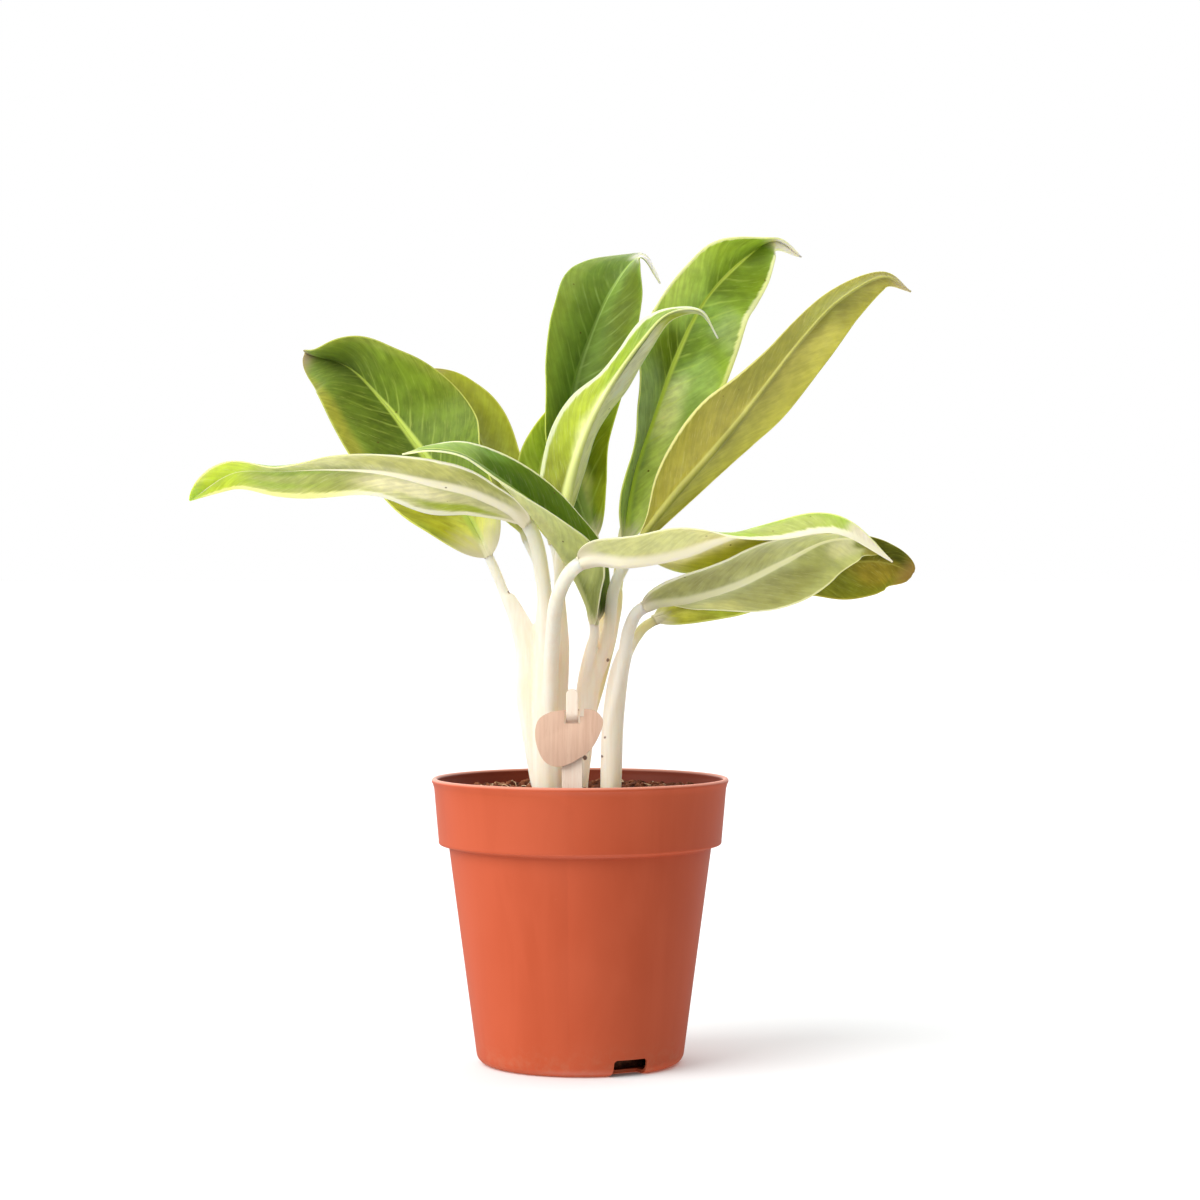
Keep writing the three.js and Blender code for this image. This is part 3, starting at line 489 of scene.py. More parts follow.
    keel=((223, 221, 182), 0.9, [4, 3.4, 2.8, 2.2, 1.7, 1.2, 0.8, 0.4]),
    margins=((238, 237, 204), (222, 220, 176), [1.8, 1.6, 1.5, 1.2, 1, 0.7], [1, 0.9, 0.8, 0.5]),
    back_patches=[
        (0.35, -0.5, 0.32, 0.5, (156, 156, 96), 0.9), (0.5, 0.55, 0.25, 0.5, (146, 146, 88), 0.9),
        (0.27, 0.75, 0.12, 0.3, (206, 204, 138), 0.6), (0.72, 0.1, 0.1, 0.4, (168, 171, 108), 0.7),
        (0.84, 0.3, 0.09, 0.35, (208, 206, 166), 0.9), (0.91, 0.25, 0.045, 0.22, (118, 124, 45), 0.9),
        (0.98, -0.2, 0.06, 1.5, (134, 126, 60), 0.9),
    ],
), dict(
    name="back_right", stem="stem_right", face=1, half=18, base=0.6, tip=0.36,
    bow=0.06, wave=0.6, waves=2, radius=(3, 2.1),
    stalk=[(13, 1, 108), (13, 2, 132), (14, 3, 146), (18, 5, 162), (23, 8, 172)],
    midrib=[
        (30, 12, 178), (51, 17, 186), (73, 22, 193), (94, 26, 199), (116, 29, 202), (128, 30, 201),
        (137.2, 28, 197),
    ],
    port=[30, 30, 33, 42, 62], star=[-40, -44, -60, -30, -45],
    top=(112, 114, 40), back=(150, 155, 80), tip_colour=(140, 112, 60), gloss=0, mottle=0.9, veins=0.2,
    base_fade=0.06,
    rib=((156, 150, 66), 0.5, [2, 1.4, 1, 0.7, 0.4]), keel=((170, 170, 90), 0.6, [2, 1.2, 0.6]),
    margins=((196, 198, 110), (150, 140, 66), [0.8, 0.5], [0.8, 0.6]),
    top_patches=[
        (0.82, -0.55, 0.18, 0.8, (66, 68, 18), 0.95), (0.86, 0.35, 0.12, 0.6, (136, 120, 42), 0.9),
        (0.1, 0, 0.16, 1.2, (188, 186, 80), 0.9), (0.3, 0.6, 0.14, 0.5, (158, 168, 64), 0.8),
    ],
)]


def srgb(colour):
    """A screen colour as the linear colour that a shader takes."""
    shares = [value / 255 for value in colour]
    return (*(share / 12.92 if share <= 0.04045 else ((share + 0.055) / 1.055) ** 2.4 for share in shares), 1)


# Curves

def spline(values, shares, closed=False):
    """A uniform Catmull-Rom curve through the values, read at shares of its length from 0 to 1."""
    values = np.asarray(values, dtype=float)
    before, after = [2 * values[0] - values[1]], [2 * values[-1] - values[-2]]
    if closed:
        before, after = values[-1:], values[:2]
    padded = np.concatenate([before, values, after])
    spans = len(padded) - 3
    place = np.clip(np.asarray(shares, dtype=float), 0, 1) * spans
    whole = np.minimum(place.astype(int), spans - 1)
    t = place - whole
    if values.ndim > 1:
        t = t[:, None]
    a, b, c, d = (padded[whole + i] for i in range(4))
    return 0.5 * (2 * b + (c - a) * t + (2 * a - 5 * b + 4 * c - d) * t**2 + (3 * b - a - 3 * c + d) * t**3)


class Route:
    """A leaf's curve up its stalk and along its midrib, walked by shares of its length in mm."""

    def __init__(self, leaf):
        points = leaf["stalk"] + leaf["midrib"]
        shares = np.linspace(0, 1, ROUTE_SAMPLES + 1)
        self.places = spline(points, shares)
        steps = np.linalg.norm(np.diff(self.places, axis=0), axis=1)
        self.lengths = np.concatenate([[0], np.cumsum(steps)])
        self.total = self.lengths[-1]
        self.start = np.interp(len(leaf["stalk"]) / (len(points) - 1), shares, self.lengths) / self.total

    def at(self, share):
        walked = np.clip(share, 0, 1) * self.total
        return np.stack([np.interp(walked, self.lengths, line) for line in self.places.T], axis=-1)

    def heading(self, share):
        return unit(self.at(share + HEADING_REACH) - self.at(share - HEADING_REACH))


def unit(vectors):
    return vectors / np.linalg.norm(vectors, axis=-1, keepdims=True)


def smoothstep(low, high, value):
    t = np.clip((value - low) / (high - low), 0, 1)
    return t * t * (3 - 2 * t)


def arc(centre, radius, start, end, steps):
    """Points of an arc in a flat outline, by angles in degrees from the outward direction."""
    turns = np.radians(np.linspace(start, end, steps + 1))
    return [(centre[0] + radius * math.cos(t), centre[1] + radius * math.sin(t)) for t in turns]


def line(start, end, steps):
    """Points of a straight line in a flat outline, with both its ends."""
    start, end = np.array(start), np.array(end)
    return [tuple(start + (end - start) * t) for t in np.linspace(0, 1, steps + 1)]


def around(sides):
    return np.linspace(0, 2 * math.pi, sides, endpoint=False)


def ring(centre, heading, radius, sides):
    """A circle of points round a centre, at right angles to a heading."""
    across = unit(np.cross(AWAY, heading))
    deep = np.cross(heading, across)
    turns = around(sides)
    return centre + np.outer(radius * np.cos(turns), across) + np.outer(radius * np.sin(turns), deep)


def level_ring(radius, z, sides):
    """A level circle of points round the pot's axis."""
    turns = around(sides)
    return np.stack([radius * np.cos(turns), radius * np.sin(turns), z + 0 * turns], axis=-1)


# Skins, each given as its points in mm and its faces

def grid_faces(rows, columns, closed):
    """Quads of a grid of points, row by row. A closed grid's last column joins its first."""
    faces = []
    for i in range(rows - 1):
        for j in range(columns if closed else columns - 1):
            a = i * columns + j
            b = i * columns + (j + 1) % columns
            faces.append((a, b, b + columns, a + columns))
    return faces


def loft(rings):
    """The closed skin through rings that have the same number of points."""
    sides = len(rings[0])
    last = (len(rings) - 1) * sides
    ends = [tuple(reversed(range(sides))), tuple(range(last, last + sides))]
    return np.concatenate(rings), grid_faces(len(rings), sides, True) + ends


def prism(outline, near, far):
    """The skin of an outline in the picture's plane, drawn from one y to another."""
    return loft([np.array([(x, y, z) for x, z in outline]) for y in (near, far)])


def join(skins):
    points, faces = [], []
    count = 0
    for own_points, own_faces in skins:
        points.append(own_points)
        faces += [tuple(i + count for i in face) for face in own_faces]
        count += len(own_points)
    return np.concatenate(points), faces


# Pieces

def new_object(name, skins, smooth=True):
    """A mesh object from skins, with its faces turned outwards."""
    points, faces = join(skins)
    mesh = bpy.data.meshes.new(name)
    mesh.from_pydata([tuple(p) for p in points * MM], [], faces)
    mesh.validate()
    if smooth:
        mesh.shade_smooth()
    edit(mesh, lambda bm: bmesh.ops.recalc_face_normals(bm, faces=bm.faces))
    return show(name, mesh)


def show(name, data):
    thing = bpy.data.objects.new(name, data)
    bpy.context.collection.objects.link(thing)
    return thing


def edit(mesh, change):
    bm = bmesh.new()
    bm.from_mesh(mesh)
    change(bm)
    bm.to_mesh(mesh)
    bm.free()


def sharpen(piece, degrees):
    """Smooth shading that breaks at edges with more than this angle between their faces."""
    def mark(bm):
        for edge in bm.edges:
            if len(edge.link_faces) == 2:
                edge.smooth = edge.calc_face_angle() < math.radians(degrees)
    piece.data.shade_smooth()
    edit(piece.data, mark)


def modify(piece, kind, **settings):
    modifier = piece.modifiers.new(kind, kind)
    for key, value in settings.items():
        setattr(modifier, key, value)


def cut(piece, skin):
    """Takes a skin's shape out of a piece, then applies the piece's other modifiers."""
    cutter = new_object("cutter", [skin], smooth=False)
    modify(piece, "BOOLEAN", operation="DIFFERENCE", object=cutter)
    piece.modifiers.move(len(piece.modifiers) - 1, 0)
    apply_modifiers(piece)
    bpy.data.objects.remove(cutter)


def apply_modifiers(piece):
    evaluated = piece.evaluated_get(bpy.context.evaluated_depsgraph_get())
    finished = bpy.data.meshes.new_from_object(evaluated)
    piece.modifiers.clear()
    piece.data = finished


def store(piece, name, *grids):
    """A named vector at each point of a mesh, for its shader, from grids of three values each."""
    layer = piece.data.attributes.new(name, "FLOAT_VECTOR", "POINT")
    layer.data.foreach_set("vector", np.concatenate([grid.ravel() for grid in grids]).astype(np.float32))


def dress(piece, slot, material, *nodes):
    """Rides a piece on the plant's one body, gives it its material and hides the model's parts for the nodes
    it stands for. The slot is not used.
    """
    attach(piece, "root")
    piece.data.materials.append(material)
    if nodes:
        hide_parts(*nodes)


# Blades

def half_widths(leaf, shares):
    widest = leaf["base"] / (leaf["base"] + leaf["tip"])
    shape = (shares / widest) ** leaf["base"] * ((1 - shares) / (1 - widest)) ** leaf["tip"]
    least = BASE_HALF_WIDTH + (TIP_HALF_WIDTH - BASE_HALF_WIDTH) * shares
    return np.maximum(leaf["half"] * shape, least)


def rib_half_width(leaf, shares):
    return leaf["radius"][1] * (1 - RIB_TAPER * shares)


def blade_columns(leaf, shares):
    """Places across the blade, dense over the midrib, from -1 at the port margin to 1 at the other one."""
    rib = RIB_REACH * rib_half_width(leaf, shares) / half_widths(leaf, shares)
    rib = np.minimum(WIDEST_RIB, rib)[:, None]
    inner = np.linspace(0, 1, RIB_COLUMNS + 1)[None, :] * rib
    outer = rib + (1 - rib) * np.linspace(0, 1, WING_COLUMNS + 1)[None, 1:] ** WING_CROWDING
    half = np.concatenate([inner, outer], axis=1)
    return np.concatenate([-half[:, :0:-1], half], axis=1)


def blade_surface(leaf, route, shares, across):
    """Points of the blade's middle surface, for a column of shares and a grid of places across it."""
    at = route.start + (1 - route.start) * shares
    heading = route.heading(at)
    away = unit(AWAY - heading * heading[:, 1:2])
    port_side = np.cross(heading, away)
    width = half_widths(leaf, shares)[:, None]
    k = np.abs(across)
    bow = -leaf["face"] * leaf["bow"] * width * 4 * k * (1 - k)
    wave_height = leaf["wave"] * k**2 * np.minimum(1, width / FULL_WAVE_WIDTH)
    halves = []
    for side, turns, lag in ((port_side, leaf["port"], 0), (-port_side, leaf["star"], STARBOARD_WAVE_LAG)):
        turn = np.radians(spline(turns, shares))[:, None]
        out = side * np.cos(turn) + away * np.sin(turn)
        normal = -side * np.sin(turn) + away * np.cos(turn)
        lift = bow + wave_height * np.sin(2 * math.pi * leaf["waves"] * shares + lag)[:, None]
        halves.append(out[:, None] * (width * k)[..., None] + normal[:, None] * lift[..., None])
    return route.at(at)[:, None] + np.where((across < 0)[..., None], *halves)


def ripple_noise(points_mm, scale_mm, seed):
    """Smooth noise from about -1 to 1 at each point, with features of the given size."""
    offset = Vector((seed * 17.3, seed * 5.1, seed * 9.7))
    values = [noise.noise(Vector(p) / scale_mm + offset) for p in points_mm.reshape(-1, 3)]
    return np.reshape(values, points_mm.shape[:-1])


def sheet_faces(rows, columns):
    """Faces of a thin sheet: its front, its back and the strip round its edge."""
    index = np.arange(rows * columns).reshape(rows, columns)
    border = np.concatenate([index[0], index[1:, -1], index[-1, -2::-1], index[-2:0:-1, 0]]).tolist()
    front = grid_faces(rows, columns, False)
    back = [tuple(i + index.size for i in reversed(face)) for face in front]
    pairs = zip(border, border[1:] + border[:1])
    return front + back + [(b, a, a + index.size, b + index.size) for a, b in pairs]


class Blade:
    """A blade's grid of points, from base to tip and from port to starboard, and what is measured there."""

    def __init__(self, leaf, route, seed):
        self.leaf = leaf
        shares = np.clip(np.linspace(0, 1, BLADE_STEPS + 1) ** BASE_CROWDING, END_GAP, 1 - END_GAP)
        length = (1 - route.start) * route.total
        self.across = blade_columns(leaf, shares)
        self.k = np.abs(self.across)
        self.off = self.k * half_widths(leaf, shares)[:, None]
        self.share = shares[:, None] + 0 * self.off
        self.rib = rib_half_width(leaf, self.share)
        rim = (1 - self.k) * half_widths(leaf, shares)[:, None]
        self.rim = np.minimum(rim, (1 - self.share) * length * 0.5)
        slant = self.off * (VEIN_SLANT + VEIN_BEND * self.k)
        lag = np.where(self.across < 0, 0.0, STARBOARD_VEIN_LAG)
        self.vein = (self.share * length - slant) / VEIN_SPACING + lag
        even = blade_surface(leaf, route, shares, self.across)
        self.normal = unit(np.cross(np.gradient(even, axis=1), np.gradient(even, axis=0)))
        self.field = ripple_noise(even, PUCKER_SIZE, seed)
        self.field += FINE_PUCKER_SHARE * ripple_noise(even, FINE_PUCKER_SIZE, seed + 3)
        self.middle = even + self.normal * self.relief()[..., None]

    def relief(self):
        """How far the sheet leaves its even surface: puckers, and grooves along the side veins."""
        groove = np.abs((self.vein % 1) - 0.5) * 2
        calm_across = smoothstep(0, 0.12, self.k) * smoothstep(1.0, 0.75, self.k)
        calm_along = smoothstep(0, 0.08, self.share) * smoothstep(1.0, 0.8, self.share)
        grooves = self.leaf["face"] * VEIN_DEPTH * groove**5 * calm_across * calm_along
        return PUCKER * self.field * smoothstep(0, 0.25, self.k) - grooves

    def heights(self):
        """How far the upper side and the underside stand off the middle surface, with the stalk's round end,
        a dip along the top of the midrib and a ridge under it."""
        clear = smoothstep(-0.01, 0.04, self.share)
        thickness = (MIDDLE_THICKNESS + (EDGE_THICKNESS - MIDDLE_THICKNESS) * self.k) * clear
        start_radius = self.leaf["radius"][1]
        round_dome = np.sqrt(np.clip(1 - (self.off / (RIB_REACH * self.rib)) ** 2, 0, 1))
        soft_dome = np.cos(np.clip(self.off / (RIDGE_REACH * self.rib), 0, 1) * math.pi / 2) ** 2
        flush = smoothstep(0, FLUSH_SHARE, self.share)
        fall = (1 - self.share) ** RIDGE_FADE * flush
        side = thickness / 2 + (start_radius - FOOT_SINK * (1 - clear)) * round_dome * (1 - flush)
        return side - RIB_DIP * round_dome * fall, side + RIDGE_HEIGHT * start_radius / 2 * soft_dome * fall

    def tint(self, face):
        """One face's ground colour at each point, with its soft patches laid on in turn."""
        tint = np.ones((*self.off.shape, 3)) * srgb(self.leaf[face])[:3]
        for share, place, long, wide, colour, strength in self.leaf.get(face + "_patches", []):
            far = np.hypot((self.share - share) / long, (self.across - place) / wide)
            cover = strength * smoothstep(1.3, 0.45, far + PATCH_RAGGEDNESS * self.field)
            tint += (np.array(srgb(colour)[:3]) - tint) * cover[..., None]
        return tint

    def marks(self, face):
        """The half-width of the midrib's line on one face, the margin's width and which face it is."""
        line = self.leaf["rib" if face == "top" else "keel"][2]
        widths = (line, *self.leaf["margins"][2:])
        rib, port, star = (spline(values, self.share[:, 0])[:, None] for values in widths)
        margin = np.where(self.across < 0, port, star)
        return np.stack([rib + 0 * margin, margin, 0 * margin + (face == "top")], axis=-1)

    def build(self, material):
        """The closed sheet, front first, with its measures stored for the shader."""
        heights, faces = self.heights(), ("top", "back")
        if self.leaf["face"] < 0:
            heights, faces = heights[::-1], faces[::-1]
        front = self.middle + self.normal * heights[0][..., None]
        back = self.middle - self.normal * heights[1][..., None]
        points = np.concatenate([front, back]).reshape(-1, 3)
        blade = new_object("blade_" + self.leaf["name"], [(points, sheet_faces(*self.off.shape))])
        span = np.stack([self.share, self.across, self.vein], axis=-1)
        reach = np.stack([self.off, self.rim, 0 * self.rim], axis=-1)
        store(blade, "span", span, span)
        store(blade, "reach", reach, reach)
        store(blade, "tint", *(self.tint(face) for face in faces))
        store(blade, "marks", *(self.marks(face) for face in faces))
        dress(blade, "leaf", material, "leaf_" + self.leaf["name"])


# Stalks and canes

def stalk_rings(leaf, route):
    """A leaf's stalk, which runs on a little into the blade and thins out there."""
    low, high = leaf["radius"]
    sizes = [(route.start * t, low + (high - low) * t) for t in np.linspace(0, 1, STALK_STEPS)]
    sizes += [(route.start + t * STALK_RUN_ON / route.total, high * part) for t, part in STALK_END]
    return [ring(route.at(share), route.heading(share), radius, STALK_SIDES) for share, radius in sizes]


def cane_swell(edges, angle, t):
    """The cane's fine ribs and the raised edges of the sheaths that wrap it, all round it at one height."""
    swell = sum(height * np.cos(angle * count + wind * t) for height, count, wind in CANE_RIBS)
    outer, inner = SHEATH_END
    for low, high, start, end in edges:
        past = (np.degrees(angle) - low - (high - low) * t) % 360
        shown = smoothstep(start - outer, start + inner, t) * smoothstep(end + outer, end - inner, t)
        step = smoothstep(0, SHEATH_RISE, past) * smoothstep(*reversed(SHEATH_FALL), past)
        swell = swell + SHEATH_STEP * shown * step
    return swell - CANE_TRIM


def cane_rings(name, sections):
    """One swollen part of a shoot, with a rounded crown."""
    angle = around(CANE_SIDES)
    rings = []
    for t in np.linspace(0, 1, CANE_STEPS):
        x, y, z, half_across, half_deep = spline(sections, np.array([t]))[0]
        swell = cane_swell(SHEATH_EDGES[name], angle, t)
        across, deep = (half_across + swell) * np.cos(angle), (half_deep + swell) * np.sin(angle)
        rings.append(np.stack([x + across, y + deep, z + 0 * across], axis=-1))
    crown = rings[-1]
    middle = crown.mean(axis=0)
    for rise, shrink in CANE_CROWN:
        rings.append(middle + (crown - middle) * shrink + np.array([0, 0, rise]))
    return rings


def build_shoot(name, routes, material):
    """One shoot: its cane, its sheath and its leaves' stalks, melted into each other where they meet."""
    lofts = [cane_rings(name, sections) for sections in SHOOTS[name]]
    lofts += [stalk_rings(leaf, routes[leaf["name"]]) for leaf in LEAVES if leaf["stem"] == name]
    shoot = new_object(name.replace("stem", "shoot"), [loft(rings) for rings in lofts])
    modify(shoot, "REMESH", mode="VOXEL", voxel_size=MELT_VOXEL * MM)
    modify(shoot, "SMOOTH", factor=0.5, iterations=MELT_ROUNDS)
    apply_modifiers(shoot)
    shoot.data.shade_smooth()
    dress(shoot, "stem", material, name)


# Pot

def pot_side(inset):
    """The pot's side from the foot up to the lip, moved inwards by an inset."""
    ledge = POT_HEIGHT - LIP_HEIGHT - BAND_HEIGHT - 1 + inset
    lean = math.degrees(math.atan2(WALL_TOP_RADIUS - WALL_FOOT_RADIUS, ledge - FOOT_ROUNDING))
    foot = arc((WALL_FOOT_RADIUS - FOOT_ROUNDING, FOOT_ROUNDING), FOOT_ROUNDING - inset, -90, -lean, 10)
    wall_top = WALL_TOP_RADIUS - inset
    band = BAND_BOTTOM_RADIUS - inset
    wall = line(foot[-1], (wall_top - 0.4, ledge - LEDGE_ROUNDING), 13)[1:]
    wall += arc((wall_top + 1.0, ledge - LEDGE_ROUNDING), LEDGE_ROUNDING, 180 - lean / 2, 100, 5)
    corner = arc((band - BAND_ROUNDING, ledge + 1.2), BAND_ROUNDING, -80, -4, 6)
    top = (BAND_TOP_RADIUS - inset, ledge - 1 + BAND_HEIGHT)
    return foot + wall + corner + line((band, ledge + 2), top, 5)


def build_pot(material):
    inside = [(r, min(z, POT_HEIGHT - LIP_HEIGHT)) for r, z in reversed(pot_side(POT_WALL))]
    lip = arc((LIP_RADIUS - LIP_ROUNDING, POT_HEIGHT - LIP_ROUNDING), LIP_ROUNDING, -50, 200, 12)
    under = [(r, 0) for r in POT_FLAT_RINGS]
    floor = [(r, POT_WALL) for r in reversed(POT_FLAT_RINGS)]
    profile = under + pot_side(0) + lip + inside + floor
    pot = new_object("pot_shell", [loft([level_ring(r, z, POT_SIDES) for r, z in profile])])
    for turn in NOTCH_TURNS:
        cut(pot, notch(turn))
    sharpen(pot, POT_EDGE_ANGLE)
    dress(pot, "pot_plastic", material, "pot")


def notch(turn):
    """The skin of a drain notch with rounded upper corners, turned round the pot's axis."""
    half = NOTCH_WIDTH / 2
    top = NOTCH_HEIGHT - NOTCH_ROUNDING
    outline = [(-half, -2), (half, -2)] + arc((half - NOTCH_ROUNDING, top), NOTCH_ROUNDING, 0, 90, 5)
    outline += arc((NOTCH_ROUNDING - half, top), NOTCH_ROUNDING, 90, 180, 5)
    near = NOTCH_DEPTH - WALL_FOOT_RADIUS
    points, faces = prism(outline, near, near - NOTCH_DEPTH - 4)
    c, s = math.cos(math.radians(turn)), math.sin(math.radians(turn))
    return points @ np.array([[c, s, 0], [-s, c, 0], [0, 0, 1]]), faces


# Soil

def soil_height(x, y):
    """The height of the crumbled soil at a place, in mm."""
    waves = math.sin(0.31 * x + 1.3) * math.cos(0.27 * y) + 0.6 * math.sin(0.83 * x - 0.4 * y)
    waves += 0.5 * math.cos(0.71 * y + 0.5 * x + 2)
    rough = noise.noise(Vector((x / 3.1, y / 3.1, 1))) + 0.6 * noise.noise(Vector((x / 1.3, y / 1.3, 4)))
    return SOIL_TOP + 0.66 * waves + 0.9 * rough


def build_soil(material):
    rings = [level_ring(radius, 0, SOIL_SIDES) for radius in np.linspace(0.4, SOIL_RADIUS, SOIL_RINGS)]
    for points in rings:
        points[:, 2] = [soil_height(x, y) for x, y in points[:, :2]]
    rings += [level_ring(radius, z, SOIL_SIDES) for radius, z in SOIL_SIDE]
    dress(new_object("soil_mix", [loft(rings)]), "potting_mix", material, "soil")


def scatter(rng, inset):
    """A random place on the soil that keeps clear of the wall by an inset."""
    radius = (SOIL_RADIUS - inset) * math.sqrt(rng.random())
    turn = rng.uniform(0, 2 * math.pi)
    return radius * math.cos(turn), radius * math.sin(turn)


def clear_of_stems(x, y, size):
    if any(math.hypot(x - a, y - b) < radius + size * CRUMB_STEM_SHARE for a, b, radius in CANES_IN_SOIL):
        return False
    across, deep = STAKE_CLEARANCE
    return not (abs(x - STAKE_X) < across + size and abs(y - LABEL_DEPTH) < deep + size)


def crumb(rng, size):
    """A small lump: a round body with its points moved in and out."""
    bm = bmesh.new()
    bmesh.ops.create_icosphere(bm, subdivisions=2, radius=1)
    seed = rng.uniform(0, 90)
    stretch = [rng.uniform(*limits) for limits in CRUMB_STRETCH]
    swells = [noise.noise(vertex.co * CRUMB_GRAIN + Vector((seed, 0, 0))) for vertex in bm.verts]
    swells = 1 + CRUMB_ROUGHNESS * np.array(swells)[:, None]
    points = np.array([vertex.co for vertex in bm.verts]) * swells * stretch * size
    faces = [tuple(v.index for v in face.verts) for face in bm.faces]
    bm.free()
    return points, faces


def build_crumbs(material):
    """Lumps of many sizes, lying on the soil."""
    rng = random.Random(5)
    crumbs = []
    while len(crumbs) < CRUMBS:
        size = rng.uniform(*CRUMB_SIZES)
        x, y = scatter(rng, 1.5 + size)
        if clear_of_stems(x, y, size):
            points, faces = crumb(rng, size)
            crumbs.append((points + np.array([x, y, soil_height(x, y) + CRUMB_LIFT * size]), faces))
    dress(new_object("soil_crumbs", crumbs), "potting_mix", material)


def fibre_path(rng):
    """Four points of a bent fibre on the soil, or fewer where it would start in a stem or pass the wall."""
    x, y = scatter(rng, 5)
    if not clear_of_stems(x, y, 3):
        return []
    heading = rng.uniform(0, 2 * math.pi)
    length = rng.uniform(*FIBRE_LENGTHS)
    bend = rng.uniform(-FIBRE_BEND, FIBRE_BEND)
    path = []
    for t in (0, 0.33, 0.66, 1):
        turn = heading + bend * t
        px, py = x + length * t * math.cos(turn), y + length * t * math.sin(turn)
        if math.hypot(px, py) > SOIL_RADIUS - FIBRE_EDGE_GAP:
            break
        arch = rng.uniform(0, FIBRE_ARCH) * math.sin(math.pi * t)
        path.append((px, py, soil_height(px, py) + FIBRE_LIFT + arch))
    return path


def strand(path, radius):
    """A thin round strand along a few points, thinner at its ends."""
    points = spline(path, np.linspace(0, 1, STRAND_STEPS + 1))
    headings = unit(np.gradient(points, axis=0)) + 1e-4
    tapers = 1 - FIBRE_TAPER * np.abs(2 * np.arange(STRAND_STEPS + 1) / STRAND_STEPS - 1) ** 3
    places = zip(points, headings, radius * tapers)
    return loft([ring(*place, STRAND_SIDES) for place in places])


def build_fibres(material):
    """Pale coir fibres and a few root hairs lying on the soil."""
    rng = random.Random(11)
    paths = list(RAISED_FIBRES)
    while len(paths) < FIBRES:
        path = fibre_path(rng)
        if len(path) == 4:
            paths.append(path)
    strands = [strand(path, rng.uniform(*FIBRE_RADII)) for path in paths]
    dress(new_object("soil_fibres", strands), "potting_mix", material)


# Label

def box(left, bottom, right, top):
    """The skin of a cut through the disc, by its edges seen from the front."""
    ys = (LABEL_DEPTH - 3, LABEL_DEPTH + 3)
    corners = np.array([(x, y, z) for x in (left, right) for y in ys for z in (bottom, top)])
    return corners, [(0, 1, 3, 2), (4, 6, 7, 5), (0, 4, 5, 1), (2, 3, 7, 6), (0, 2, 6, 4), (1, 5, 7, 3)]


def build_disc(material):
    outline = spline(DISC_OUTLINE, np.linspace(0, 1, 120, endpoint=False), closed=True) + DISC_CENTRE
    front = LABEL_DEPTH - DISC_THICKNESS / 2
    disc = new_object("label_disc_wood", [prism(outline, front, front + DISC_THICKNESS)], smooth=False)
    modify(disc, "BEVEL", width=DISC_BEVEL * MM, segments=3, angle_limit=math.radians(50))
    right = STAKE_X + SLOT_WIDTH / 2
    cut(disc, box(STAKE_X - SLOT_WIDTH / 2, SLOT_BOTTOM, right, SLOT_BOTTOM + SLOT_HEIGHT))
    cut(disc, box(right - 0.3, NICK_BOTTOM, right + NICK_WIDTH, NICK_TOP))
    sharpen(disc, DISC_EDGE_ANGLE)
    dress(disc, "label_wood", material, "label_disc")


def stake_sections():
    """The stake's y, z and half-width from its foot to its top. It comes forward through the disc's slot."""
    aside = DISC_THICKNESS / 2 + FIT_GAP + STAKE_THICKNESS / 2
    behind, before = LABEL_DEPTH + aside, LABEL_DEPTH - aside
    wide, narrow = STAKE_WIDTH / 2, TONGUE_WIDTH / 2
    slot_low, slot_high = SLOT_BOTTOM - 0.4, SLOT_BOTTOM + SLOT_HEIGHT - 0.8
    sections = [(behind, STAKE_FOOT, 1.2), (behind, STAKE_FOOT + 9, wide)]
    sections += [(behind, z, wide) for z in np.linspace(STAKE_FOOT + 14, TONGUE_START - 2, 10)]
    sections += [(behind, z, narrow) for z in (TONGUE_START, slot_low - 0.6)]
    for t in np.linspace(0.08, 0.92, 8):
        y = behind + (before - behind) * smoothstep(0, 1, t)
        sections.append((y, slot_low + (slot_high - slot_low) * t, narrow))
    sections += [(before, z, narrow) for z in np.linspace(slot_high + 0.8, STAKE_TOP - narrow, 4)]
    for turn in np.radians(np.linspace(15, 82, 7)):
        sections.append((before, STAKE_TOP - narrow + narrow * math.sin(turn), narrow * math.cos(turn)))
    return sections


def build_stake(material):
    """A loft of eight-sided rings, whose corners are eased."""
    rings = []
    half = STAKE_THICKNESS / 2
    for y, z, wide in stake_sections():
        ease = min(STAKE_EASING, wide * 0.4)
        corners = [(wide - ease, -half), (wide, ease - half), (wide, half - ease), (wide - ease, half)]
        section = [(-wide + ease, -half)] + corners + [(-dx, dy) for dx, dy in reversed(corners[1:])]
        rings.append(np.array([(STAKE_X + dx, y + dy, z) for dx, dy in section]))
    stake = new_object("label_stake_wood", [loft(rings)])
    sharpen(stake, STAKE_EDGE_ANGLE)
    dress(stake, "label_wood", material, "label_stake")


# Materials

